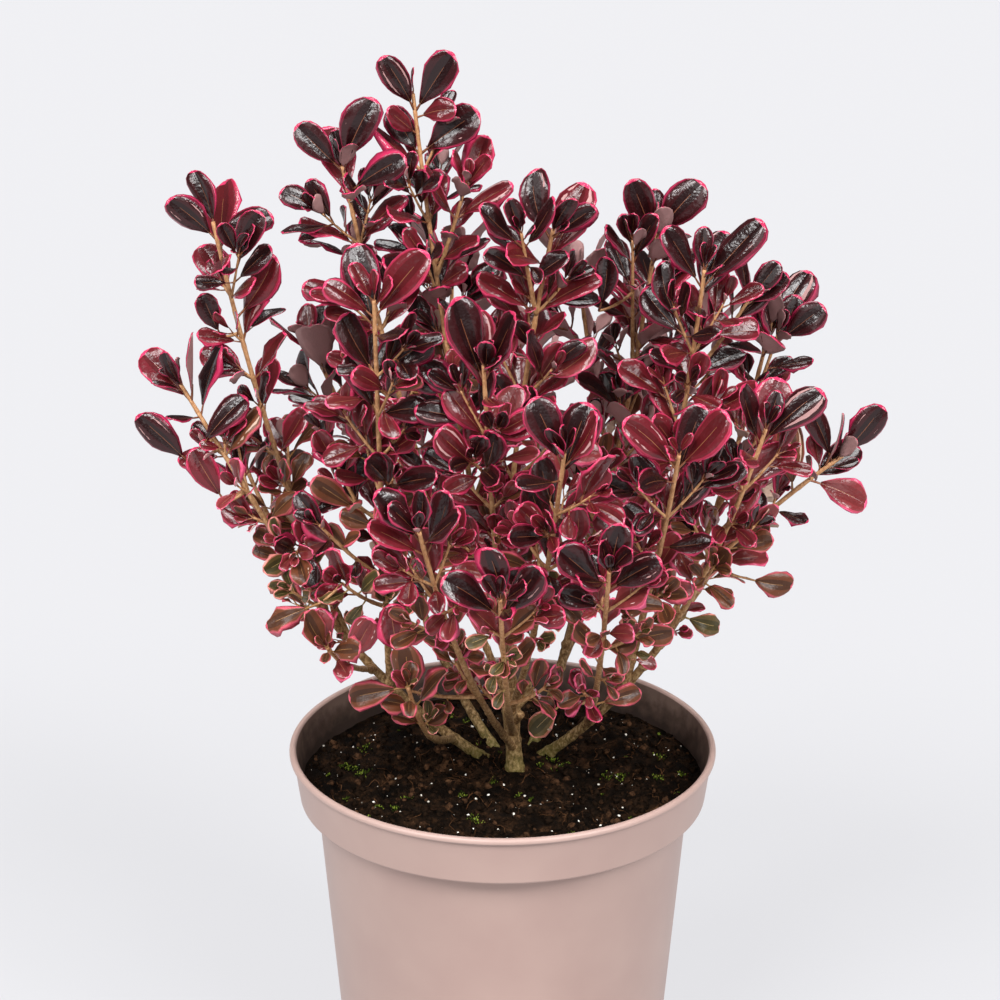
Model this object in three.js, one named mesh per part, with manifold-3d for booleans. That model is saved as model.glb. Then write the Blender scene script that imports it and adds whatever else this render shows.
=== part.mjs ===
// A mirror bush in a plastic nursery pot: a dark, glossy-leaved shrub that forks low down into
// upright and arching shoots. Millimetres, +Z up, origin under the middle of the pot's flat foot.
import * as THREE from "three";
import { mergeVertices } from "three/addons/utils/BufferGeometryUtils.js";
import Module from "manifold-3d";

const wasm = await Module();
wasm.setup();

// Driving sizes of the pot: a round pot of 170 mm with a deep collar under its rolled lip.
const POT_HEIGHT = 150;
const LIP_RADIUS = 85;
const LIP_WIDTH = 2.8;
const LIP_HEIGHT = 3;
const LIP_ROUND = 0.8;
const COLLAR_HEIGHT = 21;
const COLLAR_TOP_RADIUS = 83.4;
const COLLAR_FOOT_RADIUS = 81;
const BODY_TOP_RADIUS = 74.3;
const BODY_FOOT_RADIUS = 63.5;
const FOOT_CHAMFER = 1.2;
const WALL = 1.4;
const FLOOR = 2;
const POT_SIDES = 36;
const DRAIN_HOLES = 8;
const DRAIN_RADIUS = 4.5;
const DRAIN_CIRCLE = 46;
const DRAIN_SIDES = 10;

// The potting soil stands this far under the lip.
const SOIL_DROP = 15;
const SOIL_Z = POT_HEIGHT - SOIL_DROP;

// Clearance between two neighbouring pieces.
const GAP = 0.3;

// How a limb bends: it leaves its parent flat and turns up towards its tip. One that carries on
// from the end of another keeps that limb's heading for this share of its length.
const BEND_OUT = 0.62;
const BEND_UP = 0.42;
const CARRY_ON = 0.4;

// The root flare at a stem's foot and the trunk's knob, as shares of the radius, and their heights.
const FLARE = 0.45;
const FLARE_HEIGHT = 7;
const KNOB = 0.3;
const KNOB_AT = 0.48;
const KNOB_HEIGHT = 9;

// The wood of a shoot: at its bough's foot, where it turns leafy, and at its tip.
const BOUGH_RADIUS = 2.1;
const LEADER_RADIUS = 1.9;
const TIP_RADIUS = 1.3;
const TWIG_RADIUS = 1.2;

// A leaf, a little larger than life because each stands for two. Its shoulder is its widest
// place, and its tip is blunt and bends back.
const LEAF_LENGTH = 27;
const LEAF_WIDTH = 15.5;
const LEAF_THICKNESS = 0.9;
const LEAF_SHOULDER = 0.62;
const LEAF_TIP_WIDTH = 0.42;
const LEAF_BACK = 0.07;
const LEAF_ROOT_SINK = 0.3;

// The pairs of leaves at a shoot's tip: distance under the tip, angle off the shoot, size.
const TIP_PAIRS = [
  [1.2, 15, 0.74],
  [6, 36, 0.92],
  [14, 52, 1],
];
// Lower nodes stand wider apart, with smaller leaves towards the shoot's foot.
const NODE_SPACING = 16.5;
const NODE_ANGLE = 60;
const FOOT_LEAF_SIZE = 0.8;

// A side twig: its length, its angle off the shoot, how often a node has a second one, and its
// two pairs of leaves: share of its length, angle, size.
const TWIG_LENGTH = 24;
const TWIG_ANGLE = 40;
const SECOND_TWIG = 0.45;
const TWIG_PAIRS = [
  [0.95, 26, 0.8],
  [0.5, 56, 0.74],
];

// How far foliage stays inside its own space, clear of limbs, and clear of the pot's lip.
const SPACE_MARGIN = 0.45;
const LIMB_MARGIN = 0.6;
const POT_CLEARANCE = 3;

// Two leaves that share more than this volume cross each other.
const CROSSING = 0.3;

// Each stem: its foot on the soil, its top (x, y, height over the soil) and its two radii.
const STEMS = [
  { name: "trunk", foot: [5, 6], top: [2, 9, 62], radii: [3.1, 2.4], knob: KNOB },
  { name: "stem_left", foot: [-8, 17], top: [-79, 0, 87], radii: [2.7, 1.9] },
  { name: "stem_right", foot: [18, 21], top: [73, -5, 79], radii: [2.6, 1.9] },
  { name: "stem_back_left", foot: [-4, 28], top: [-38, 56, 64], radii: [2.5, 1.9] },
  { name: "stem_back_right", foot: [13, 31], top: [34, 60, 68], radii: [2.5, 1.9] },
  { name: "stem_left_low", from: "stem_left", fork: 0.14, top: [-29, -24, 30], radii: [2.1, 1.9] },
];

// Each leafy shoot: the stem that it forks from and where along it (1 carries on from the stem's
// end), its tip (x, y, height over the soil) and the share of its length that is bare bough.
const SHOOTS = [
  { name: "left_reach", from: "stem_left", fork: 1, tip: [-123, 0, 166], bare: 0 },
  { name: "left_high", from: "stem_left", fork: 0.68, tip: [-110, 15, 226], bare: 0.14 },
  { name: "left_front", from: "stem_left", fork: 0.46, tip: [-47, -40, 212], bare: 0.2 },
  { name: "left_low", from: "stem_left", fork: 0.55, tip: [-66, -54, 80], bare: 0.16 },
  { name: "left_peak", from: "trunk", fork: 0.5, tip: [-61, 25, 245], bare: 0.3 },
  { name: "top_peak", from: "trunk", fork: 0.78, tip: [-34, 30, 272], bare: 0.2 },
  { name: "centre", from: "trunk", fork: 1, tip: [19, 5, 226], bare: 0 },
  { name: "centre_front", from: "trunk", fork: 0.62, tip: [-7, -55, 192], bare: 0.26 },
  { name: "front_high", from: "trunk", fork: 0.45, tip: [22, -80, 167], bare: 0.3 },
  { name: "front_low", from: "trunk", fork: 0.3, tip: [-1, -103, 120], bare: 0.34 },
  { name: "front_left", from: "trunk", fork: 0.18, tip: [-30, -88, 140], bare: 0.32 },
  { name: "foot_left", from: "stem_left_low", fork: 1, tip: [-36, -50, 62], bare: 0 },
  { name: "right_rear", from: "stem_back_right", fork: 0.55, tip: [60, 40, 215], bare: 0.2 },
  { name: "right_peak", from: "stem_right", fork: 0.5, tip: [75, -15, 216], bare: 0.2 },
  { name: "right_high", from: "stem_right", fork: 0.74, tip: [104, 24, 183], bare: 0.18 },
  { name: "right_mid", from: "stem_right", fork: 0.62, tip: [98, -34, 160], bare: 0.2 },
  { name: "right_reach", from: "stem_right", fork: 1, tip: [131, 0, 137], bare: 0 },
  { name: "front_right", from: "stem_right", fork: 0.4, tip: [64, -65, 161], bare: 0.22 },
  { name: "front_low_right", from: "stem_right", fork: 0.26, tip: [38, -96, 128], bare: 0.3 },
  { name: "rear_high_left", from: "stem_back_left", fork: 0.6, tip: [-20, 76, 195], bare: 0.2 },
  { name: "rear_left", from: "stem_back_left", fork: 1, tip: [-77, 58, 164], bare: 0 },
  { name: "rear_low_left", from: "stem_back_left", fork: 0.8, tip: [-44, 106, 127], bare: 0.2 },
  { name: "side_left", from: "stem_left", fork: 0.84, tip: [-104, 46, 118], bare: 0.2 },
  { name: "rear_high_right", from: "stem_back_right", fork: 1, tip: [30, 78, 187], bare: 0 },
  { name: "rear_centre", from: "stem_back_right", fork: 0.8, tip: [6, 116, 145], bare: 0.2 },
  { name: "rear_right", from: "stem_back_right", fork: 0.68, tip: [80, 74, 164], bare: 0.2 },
  { name: "rear_low_right", from: "stem_back_right", fork: 0.42, tip: [60, 110, 112], bare: 0.3 },
  { name: "side_right", from: "stem_right", fork: 0.9, tip: [108, 56, 112], bare: 0.2 },
];

const LOOKS = {
  pot: { color: "#c8ab9f", roughness: 0.42 },
  soil: { color: "#241a15", roughness: 0.95 },
  bark: { color: "#8f7150", roughness: 0.7 },
  foliage: { color: "#4a1626", roughness: 0.25 },
};

// A number from 0 to 1 that is always the same for the same three numbers.
function chance(a, b, c) {
  const s = Math.sin(a * 12.9898 + b * 78.233 + c * 37.719) * 43758.5453;
  return s - Math.floor(s);
}

function mix(a, b, share) {
  return a + (b - a) * share;
}

function radians(degrees) {
  return THREE.MathUtils.degToRad(degrees);
}

function solidOf(geometry) {
  const bare = geometry.clone();
  bare.deleteAttribute("normal");
  bare.deleteAttribute("uv");
  const merged = mergeVertices(bare, 1e-4);
  return new wasm.Manifold(
    new wasm.Mesh({
      numProp: 3,
      vertProperties: new Float32Array(merged.attributes.position.array),
      triVerts: new Uint32Array(merged.index.array),
    }),
  );
}

function geometryOf(solid) {
  const mesh = solid.getMesh();
  const geometry = new THREE.BufferGeometry();
  geometry.setAttribute("position", new THREE.BufferAttribute(mesh.vertProperties, 3));
  geometry.setIndex(new THREE.BufferAttribute(mesh.triVerts, 1));
  geometry.computeVertexNormals();
  return geometry;
}

// The largest body of a solid, without its scraps and sealed hollows.
function mainBody(solid) {
  return solid.decompose().sort((a, b) => b.volume() - a.volume())[0];
}

// A round solid from its profile of radius and height, which runs up the outside.
function turned(profile) {
  const points = profile.map(([radius, height]) => new THREE.Vector2(radius, height));
  return solidOf(new THREE.LatheGeometry(points, POT_SIDES).rotateX(Math.PI / 2));
}

// The pot: a shell that tapers to its foot, with a collar, a rolled lip and drain holes.
function buildPot() {
  const collarZ = POT_HEIGHT - COLLAR_HEIGHT;
  const lipZ = POT_HEIGHT - LIP_HEIGHT;
  const shell = turned([
    [0, 0],
    [BODY_FOOT_RADIUS - FOOT_CHAMFER, 0],
    [BODY_FOOT_RADIUS, FOOT_CHAMFER],
    [BODY_TOP_RADIUS, collarZ],
    [COLLAR_FOOT_RADIUS - LIP_ROUND, collarZ],
    [COLLAR_FOOT_RADIUS, collarZ + LIP_ROUND],
    [COLLAR_TOP_RADIUS, lipZ],
    [LIP_RADIUS, lipZ + LIP_ROUND],
    [LIP_RADIUS, POT_HEIGHT - LIP_ROUND],
    [LIP_RADIUS - LIP_ROUND, POT_HEIGHT],
    [LIP_RADIUS - LIP_WIDTH + LIP_ROUND, POT_HEIGHT],
    [LIP_RADIUS - LIP_WIDTH, POT_HEIGHT - LIP_ROUND],
    [COLLAR_FOOT_RADIUS - WALL, collarZ + WALL],
    [BODY_TOP_RADIUS - WALL, collarZ + WALL],
    [BODY_FOOT_RADIUS - WALL, FLOOR],
    [0, FLOOR],
  ]);
  const plugs = [];
  for (let k = 0; k < DRAIN_HOLES; k++) {
    const turn = (2 * Math.PI * (k + 0.5)) / DRAIN_HOLES;
    const plug = new THREE.CylinderGeometry(DRAIN_RADIUS, DRAIN_RADIUS, 4 * FLOOR, DRAIN_SIDES);
    plug.rotateX(Math.PI / 2);
    plug.translate(Math.cos(turn) * DRAIN_CIRCLE, Math.sin(turn) * DRAIN_CIRCLE, 0);
    plugs.push(solidOf(plug));
  }
  return shell.subtract(wasm.Manifold.union(plugs));
}

// The root ball: it fills the pot to the gap all round, and its top is level.
function buildSoil() {
  const stepZ = POT_HEIGHT - COLLAR_HEIGHT + WALL;
  return turned([
    [0, FLOOR + GAP],
    [BODY_FOOT_RADIUS - WALL - GAP, FLOOR + GAP],
    [BODY_TOP_RADIUS - WALL - 2 * GAP, stepZ + GAP],
    [COLLAR_FOOT_RADIUS - WALL - 2 * GAP, stepZ + GAP],
    [COLLAR_FOOT_RADIUS - WALL - GAP, SOIL_Z],
    [0, SOIL_Z],
  ]);
}

// The curve from a foot to a tip: flat and outward at first, steeper towards the tip.
function limbCurve(foot, tip, heading) {
  const run = tip.clone().sub(foot);
  const bend = new THREE.Vector3(run.x * BEND_OUT, run.y * BEND_OUT, run.z * BEND_UP);
  if (heading) bend.copy(heading).multiplyScalar(run.length() * CARRY_ON);
  return new THREE.QuadraticBezierCurve3(foot, bend.add(foot), tip);
}

// The way that a limb's curve runs at a share of it, also a little beyond its ends.
function headingAt(curve, t) {
  const heading = curve.v1.clone().sub(curve.v0).multiplyScalar(1 - t);
  return heading.addScaledVector(curve.v2.clone().sub(curve.v1), t).normalize();
}

// A direction square to a heading.
function acrossOf(heading) {
  const aside = Math.abs(heading.z) < 0.9 ? [0, 0, 1] : [1, 0, 0];
  return new THREE.Vector3(...aside).cross(heading).normalize();
}

// Round wood along a limb's curve between two shares of it: a cylinder laid along the curve.
// A limb bends in one plane, and that plane's normal keeps its rings from twisting.
function wood(curve, from, to, radiusAt, steps, sides) {
  const across = headingAt(curve, 0).cross(headingAt(curve, 1));
  if (across.length() < 1e-3) across.copy(acrossOf(headingAt(curve, 0)));
  across.normalize();
  const geometry = new THREE.CylinderGeometry(1, 1, 1, sides, steps);
  const position = geometry.attributes.position;
  for (let i = 0; i < position.count; i++) {
    const t = mix(from, to, position.getY(i) + 0.5);
    const outward = across.clone().cross(headingAt(curve, t)).normalize();
    const point = curve.getPoint(t);
    point.addScaledVector(across, position.getX(i) * radiusAt(t));
    point.addScaledVector(outward, position.getZ(i) * radiusAt(t));
    position.setXYZ(i, point.x, point.y, point.z);
  }
  return solidOf(geometry);
}

// Every limb by name: its curve, the shares of it that are wood, and its radius along it. The
// leafy part of each shoot is kept apart, with the share of the curve at which it starts.
const limbs = new Map();
const leaders = [];

function footOf(row) {
  if (!row.from) return new THREE.Vector3(row.foot[0], row.foot[1], SOIL_Z + GAP);
  return limbs.get(row.from).curve.getPoint(row.fork);
}

function overSoil([x, y, height]) {
  return new THREE.Vector3(x, y, SOIL_Z + height);
}

function addStem(row) {
  const curve = limbCurve(footOf(row), overSoil(row.top), null);
  const length = curve.getLength();
  const radiusAt = (t) => {
    const flare = row.from ? 0 : FLARE * Math.exp((-t * length) / FLARE_HEIGHT);
    const knob = (row.knob ?? 0) * Math.exp(-((((t - KNOB_AT) * length) / KNOB_HEIGHT) ** 2));
    return mix(row.radii[0], row.radii[1], t) * (1 + flare + knob);
  };
  // A stem that stands in the soil starts a little under it and is cut level.
  const start = row.from ? 0 : -4 / length;
  limbs.set(row.name, { curve, from: start, to: 1, radiusAt, steps: 7, sides: 7, row });
}

function addShoot(row) {
  const heading = row.fork === 1 ? headingAt(limbs.get(row.from).curve, 1) : null;
  const curve = limbCurve(footOf(row), overSoil(row.tip), heading);
  const start = row.bare + GAP / curve.getLength();
  const leaderRadius = (t) => mix(LEADER_RADIUS, TIP_RADIUS, (t - start) / (1 - start));
  leaders.push({ name: row.name, curve, start, radiusAt: leaderRadius });
  if (row.bare === 0) return;
  const radiusAt = (t) => mix(BOUGH_RADIUS, LEADER_RADIUS, t / row.bare);
  limbs.set("bough_" + row.name, { curve, from: 0, to: row.bare, radiusAt, steps: 3, sides: 5, row });
}

STEMS.forEach(addStem);
SHOOTS.forEach(addShoot);

// The wood of one limb, cut level at the soil or clear of the limb that it forks from.
function buildLimb(limb) {
  const solid = wood(limb.curve, limb.from, limb.to, limb.radiusAt, limb.steps, limb.sides);
  if (!limb.row.from) return solid.trimByPlane([0, 0, 1], SOIL_Z + GAP);
  const parent = limbs.get(limb.row.from);
  const end = parent.to + GAP / parent.curve.getLength();
  const room = (t) => parent.radiusAt(t) + GAP;
  const cutter = wood(parent.curve, parent.from, end, room, parent.steps, parent.sides);
  return mainBody(solid.subtract(cutter));
}

// The middle line of a limb as short steps, each point with the limb's radius there.
function lineOf(curve, from, to, radiusAt) {
  const steps = 14;
  const line = [];
  for (let i = 0; i <= steps; i++) {
    const t = mix(from, to, i / steps);
    line.push({ at: curve.getPoint(t), radius: radiusAt(t) });
  }
  return line;
}

const woodLines = [...limbs.values()].map((limb) =>
  lineOf(limb.curve, Math.max(limb.from, 0), limb.to, limb.radiusAt),
);
for (const leader of leaders) {
  leader.line = lineOf(leader.curve, leader.start, 1, leader.radiusAt);
}

// The distance from a point to a line, and to the wood's surface round it.
function distanceTo(point, line) {
  let toMiddle = Infinity;
  let toSurface = Infinity;
  const along = new THREE.Vector3();
  const away = new THREE.Vector3();
  for (let i = 1; i < line.length; i++) {
    along.subVectors(line[i].at, line[i - 1].at);
    away.subVectors(point, line[i - 1].at);
    const share = THREE.MathUtils.clamp(away.dot(along) / along.lengthSq(), 0, 1);
    const distance = away.addScaledVector(along, -share).length();
    toMiddle = Math.min(toMiddle, distance);
    toSurface = Math.min(toSurface, distance - mix(line[i - 1].radius, line[i].radius, share));
  }
  return { toMiddle, toSurface };
}

// Whether a point is nearer to this leader than to any other, over the soil, inside the lip or
// above it, and clear of all limbs.
function inOwnSpace(point, own) {
  const reach = Math.hypot(point.x, point.y);
  const overLip = point.z > POT_HEIGHT + POT_CLEARANCE;
  if (!overLip && reach > LIP_RADIUS - LIP_WIDTH - POT_CLEARANCE) return false;
  if (point.z < SOIL_Z + POT_CLEARANCE) return false;
  const ownDistance = distanceTo(point, own.line).toMiddle + SPACE_MARGIN;
  for (const other of leaders) {
    if (other !== own && distanceTo(point, other.line).toMiddle < ownDistance) return false;
  }
  return woodLines.every((line) => distanceTo(point, line).toSurface > LIMB_MARGIN);
}

// One leaf: a blade with a ridge along its middle, thick at its root so that it fuses well.
function leafOf(root, direction, normal, length, width) {
  const side = direction.clone().cross(normal);
  const at = (along, across, up) =>
    root
      .clone()
      .addScaledVector(direction, along)
      .addScaledVector(side, across)
      .addScaledVector(normal, up);
  const half = LEAF_THICKNESS / 2;
  const shoulder = length * LEAF_SHOULDER;
  const back = -length * LEAF_BACK;
  const tipSide = (width * LEAF_TIP_WIDTH) / 2;
  const points = [
    at(-LEAF_ROOT_SINK, 0, half),
    at(-LEAF_ROOT_SINK, 0, -half),
    at(shoulder, -width / 2, 0),
    at(shoulder, width / 2, 0),
    at(length, -tipSide, back),
    at(length, tipSide, back),
    at(shoulder, 0, half),
  ];
  const upper = [0, 3, 6, 6, 3, 5, 6, 5, 4, 6, 4, 2, 0, 6, 2];
  const under = [1, 2, 3, 2, 4, 3, 4, 5, 3];
  const rootSides = [0, 2, 1, 0, 1, 3];
  const numbers = points.flatMap((p) => [p.x, p.y, p.z]);
  const geometry = new THREE.BufferGeometry();
  geometry.setAttribute("position", new THREE.Float32BufferAttribute(numbers, 3));
  geometry.setIndex([...upper, ...under, ...rootSides]);
  const halfway = [-width / 4, width / 4].map((across) => at(shoulder / 2, across, 0));
  return { solid: solidOf(geometry), probes: [...points.slice(2), ...halfway] };
}

// One mass of foliage while it grows: its wood, and the leaves that stand on it.
class Foliage {
  constructor(leader, seed) {
    this.leader = leader;
    this.seed = seed;
    this.woods = [];
    this.leaves = [];
  }

  // A leaf at an angle off its stalk, made smaller and steeper until it fits.
  addLeaf(node, axis, outward, angle, size) {
    for (const scale of [1, 0.85, 0.7]) {
      const lean = radians(angle * scale);
      const direction = axis.clone().multiplyScalar(Math.cos(lean));
      direction.addScaledVector(outward, Math.sin(lean));
      const normal = axis.clone().multiplyScalar(Math.sin(lean));
      normal.addScaledVector(outward, -Math.cos(lean));
      const length = LEAF_LENGTH * size * scale;
      const { solid, probes } = leafOf(node, direction, normal, length, LEAF_WIDTH * size * scale);
      const fits = probes.every((point) => inOwnSpace(point, this.leader));
      if (fits && this.leaves.every((other) => other.intersect(solid).volume() < CROSSING)) {
        this.leaves.push(solid);
        return;
      }
    }
  }

  // Two opposite leaves at a node.
  addPair(node, axis, turn, angle, size) {
    for (const half of [0, Math.PI]) {
      const outward = acrossOf(axis).applyAxisAngle(axis, turn + half);
      this.addLeaf(node, axis, outward, angle, size);
    }
  }

  // A straight side twig with two crossed pairs of leaves, shorter where there is less space.
  addTwig(node, axis, turn, k) {
    const lean = radians(TWIG_ANGLE + 14 * (chance(this.seed, k, 5) - 0.5));
    const outward = acrossOf(axis).applyAxisAngle(axis, turn);
    const direction = axis.clone().multiplyScalar(Math.cos(lean));
    direction.addScaledVector(outward, Math.sin(lean));
    for (const scale of [1, 0.8]) {
      const end = node.clone().addScaledVector(direction, TWIG_LENGTH * scale);
      const curve = new THREE.QuadraticBezierCurve3(node, node.clone().lerp(end, 0.5), end);
      const fits = [0.5, 1].every((t) => inOwnSpace(curve.getPoint(t), this.leader));
      const solid = wood(curve, 0, 1, () => TWIG_RADIUS, 1, 3);
      if (fits && this.leaves.every((other) => other.intersect(solid).volume() < CROSSING)) {
        this.woods.push(solid);
        TWIG_PAIRS.forEach(([t, angle, size], j) => {
          const pairTurn = (chance(this.seed, k, 6) + 0.5 * j) * Math.PI;
          this.addPair(curve.getPoint(t), direction, pairTurn, angle, size);
        });
        return;
      }
    }
  }

  // The shoot from its tip down: close pairs at the tip, then wider ones with a side twig each.
  grow() {
    const { curve, start, radiusAt } = this.leader;
    const length = curve.getLength();
    this.woods.push(wood(curve, start, 1, radiusAt, 5, 3));
    const nodes = TIP_PAIRS.map(([below, angle, size]) => ({ below, angle, size }));
    let below = nodes.at(-1).below;
    const reach = length * (1 - start) - NODE_SPACING / 3;
    for (let k = nodes.length; below < reach; k++) {
      below += NODE_SPACING * (1 + 0.25 * (chance(this.seed, k, 3) - 0.5));
      const angle = NODE_ANGLE + 14 * (chance(this.seed, k, 4) - 0.5);
      nodes.push({ below, angle, size: mix(1, FOOT_LEAF_SIZE, below / reach), twig: true });
    }
    nodes.forEach((node, k) => {
      if (node.below > reach) return;
      const t = 1 - node.below / length;
      const axis = headingAt(curve, t);
      const quarter = (Math.PI / 2) * (k + 0.3 * (chance(this.seed, k, 2) - 0.5));
      const turn = chance(this.seed, 0, 1) * Math.PI + quarter;
      this.addPair(curve.getPoint(t), axis, turn, node.angle, node.size);
      if (!node.twig) return;
      const side = chance(this.seed, k, 7) < 0.5 ? 0 : Math.PI;
      this.addTwig(curve.getPoint(t), axis, turn + Math.PI / 2 + side, k);
      if (chance(this.seed, k, 8) > SECOND_TWIG) return;
      this.addTwig(curve.getPoint(t), axis, turn - Math.PI / 2 + side, k + 0.5);
    });
    return mainBody(wasm.Manifold.union([...this.woods, ...this.leaves]));
  }
}

const shrub = new THREE.Group();
shrub.name = "potted_mirror_bush";

function addMesh(name, solid, look) {
  const material = new THREE.MeshStandardMaterial({ metalness: 0, ...LOOKS[look] });
  const mesh = new THREE.Mesh(geometryOf(solid), material);
  mesh.name = name;
  shrub.add(mesh);
}

addMesh("pot", buildPot(), "pot");
addMesh("soil", buildSoil(), "soil");
for (const [name, limb] of limbs) {
  addMesh(name, buildLimb(limb), "bark");
}
leaders.forEach((leader, i) => {
  addMesh("foliage_" + leader.name, new Foliage(leader, i + 1).grow(), "foliage");
});

export default shrub;
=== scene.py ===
"""A young mirror bush in a taupe nursery pot: its looks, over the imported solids.

The sections follow the plant as it is potted: pot, soil and its litter, stems and boughs, young
shoots, leaves, and then the floor, the light and the camera. Sizes are in millimetres, and the
patterns of the materials in metres.
"""

import math

import bpy
import numpy as np
from mathutils.bvhtree import BVHTree
from mathutils.noise import noise
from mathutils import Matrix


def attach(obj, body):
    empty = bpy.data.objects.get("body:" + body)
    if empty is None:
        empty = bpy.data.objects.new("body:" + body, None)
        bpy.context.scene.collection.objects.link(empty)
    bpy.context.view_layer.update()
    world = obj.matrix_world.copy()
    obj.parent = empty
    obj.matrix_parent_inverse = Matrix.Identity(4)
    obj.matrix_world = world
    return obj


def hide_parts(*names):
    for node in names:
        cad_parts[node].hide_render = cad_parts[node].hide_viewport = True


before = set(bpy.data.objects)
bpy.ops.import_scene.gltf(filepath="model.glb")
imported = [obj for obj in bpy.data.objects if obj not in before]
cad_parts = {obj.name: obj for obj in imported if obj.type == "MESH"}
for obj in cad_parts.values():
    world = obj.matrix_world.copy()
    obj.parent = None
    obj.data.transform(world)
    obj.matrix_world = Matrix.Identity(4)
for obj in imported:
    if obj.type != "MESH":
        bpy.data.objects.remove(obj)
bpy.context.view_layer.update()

# Pot
# A nursery pot of 170 mm, injection-moulded from taupe polypropylene: a thin tapered wall, a deep
# collar under a rolled lip, and eight drain holes in its flat floor.
MM = 0.001
POT_SIDES = 128
POT_HEIGHT = 150
FLOOR_THICKNESS = 2
LIP_INNER_RADIUS = 82.2
POT_PROFILE = [
    (62.3, 0), (63.5, 1.2), (74.3, 129), (80.2, 129), (81, 129.8), (83.4, 147), (85, 147.8),
    (85, 149.2), (84.2, POT_HEIGHT), (83, POT_HEIGHT), (LIP_INNER_RADIUS, 149.2), (79.6, 130.4),
    (72.9, 130.4), (62.1, FLOOR_THICKNESS),
]
DRAIN_HOLES = 8
DRAIN_RADIUS = 4.5
DRAIN_CIRCLE = 46
EDGE_ROUNDING = 0.4


def select_only(*pieces):
    """Selects these objects and no others, the first as the active one."""
    bpy.ops.object.select_all(action="DESELECT")
    for piece in reversed(pieces):
        piece.select_set(True)
        bpy.context.view_layer.objects.active = piece


def turned(name, profile, sides):
    """A round shell: a disc at the profile's start, extruded and resized from point to point."""
    select_only()
    radius, height = profile[0]
    bpy.ops.mesh.primitive_circle_add(
        vertices=sides, radius=radius * MM, fill_type="NGON", location=(0, 0, height * MM)
    )
    bpy.ops.object.transform_apply(location=True)
    piece = bpy.context.object
    piece.name = name
    bpy.ops.object.mode_set(mode="EDIT")
    for next_radius, next_height in profile[1:]:
        rise = (0, 0, (next_height - height) * MM)
        bpy.ops.mesh.extrude_region_move(TRANSFORM_OT_translate={"value": rise})
        share = next_radius / radius
        bpy.ops.transform.resize(value=(share, share, 1), center_override=(0, 0, 0))
        radius, height = next_radius, next_height
    bpy.ops.mesh.select_all(action="SELECT")
    bpy.ops.mesh.normals_make_consistent(inside=False)
    bpy.ops.object.mode_set(mode="OBJECT")
    return piece


def modify(piece, kind, **settings):
    """Finishes a piece with a modifier and applies it."""
    modifier = piece.modifiers.new(kind, kind)
    for name, value in settings.items():
        setattr(modifier, name, value)
    bpy.context.view_layer.objects.active = piece
    bpy.ops.object.modifier_apply(modifier=modifier.name)


def linear(hex_colour):
    """An sRGB hex colour as the linear colour that a socket takes."""
    shares = [int(hex_colour[i : i + 2], 16) / 255 for i in (1, 3, 5)]
    curve = [s / 12.92 if s <= 0.04045 else ((s + 0.055) / 1.055) ** 2.4 for s in shares]
    return (*curve, 1.0)


def add_node(tree, kind, inputs=None, stops=None, **settings):
    """Adds a node: its settings, a ramp's stops, and its inputs as values or as links."""
    node = tree.nodes.new("ShaderNode" + kind)
    for name, value in settings.items():
        setattr(node, name, value)
    if stops:
        ramp = node.color_ramp
        while len(ramp.elements) < len(stops):
            ramp.elements.new(1)
        for element, (place, colour) in zip(ramp.elements, stops):
            element.position = place
            element.color = linear(colour)
    for name, value in (inputs or {}).items():
        if isinstance(value, bpy.types.NodeSocket):
            tree.links.new(value, node.inputs[name])
        else:
            node.inputs[name].default_value = value
    return node


def new_material(name, shader_values):
    """A named material, its node tree and its shader with constant values set."""
    material = bpy.data.materials.new(name)
    material.use_nodes = True
    tree = material.node_tree
    shader = tree.nodes["Principled BSDF"]
    for socket, value in shader_values.items():
        shader.inputs[socket].default_value = value
    return material, tree, shader


def hand_over(piece, nodes):
    """Ties a finished piece to the one body, and hides the solids it stands for."""
    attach(piece, "root")
    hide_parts(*nodes)


pot = turned("nursery_pot", POT_PROFILE, POT_SIDES)
modify(
    pot, "BEVEL", width=EDGE_ROUNDING * MM, segments=2, limit_method="ANGLE",
    angle_limit=math.radians(20),
)
drills = []
for k in range(DRAIN_HOLES):
    turn = 2 * math.pi * (k + 0.5) / DRAIN_HOLES
    place = (math.cos(turn) * DRAIN_CIRCLE * MM, math.sin(turn) * DRAIN_CIRCLE * MM, 0)
    bpy.ops.mesh.primitive_cylinder_add(
        vertices=24, radius=DRAIN_RADIUS * MM, depth=4 * FLOOR_THICKNESS * MM, location=place
    )
    drills.append(bpy.context.object)
select_only(*drills)
bpy.ops.object.join()
drill = bpy.context.object
modify(pot, "BOOLEAN", object=drill, operation="DIFFERENCE", solver="EXACT")
bpy.data.objects.remove(drill)

# Moulded polypropylene is satin: broad soft highlights over a very fine grain, and slow sink marks
# that the eye only sees in the highlight. The grain is drawn at 0.5 mm so that it shows.
satin, tree, shader = new_material(
    "satin moulded polypropylene, taupe",
    {"Roughness": 0.42, "IOR": 1.49, "Specular IOR Level": 0.45},
)
place = add_node(tree, "TexCoord").outputs["Object"]
clouds = add_node(tree, "TexNoise", {"Vector": place, "Scale": 26, "Detail": 3})
tone = add_node(
    tree, "ValToRGB", {"Fac": clouds.outputs["Fac"]}, stops=[(0.3, "#a78c84"), (0.7, "#af958c")]
)
tree.links.new(tone.outputs["Color"], shader.inputs["Base Color"])
grain = add_node(tree, "TexNoise", {"Vector": place, "Scale": 2000, "Detail": 2})
sink = add_node(tree, "TexNoise", {"Vector": place, "Scale": 45, "Detail": 1})
fine = add_node(
    tree, "Bump", {"Height": grain.outputs["Fac"], "Strength": 0.12, "Distance": 0.0001}
)
slow = add_node(
    tree,
    "Bump",
    {
        "Height": sink.outputs["Fac"], "Strength": 0.25, "Distance": 0.0006,
        "Normal": fine.outputs["Normal"],
    },
)
tree.links.new(slow.outputs["Normal"], shader.inputs["Normal"])
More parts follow.
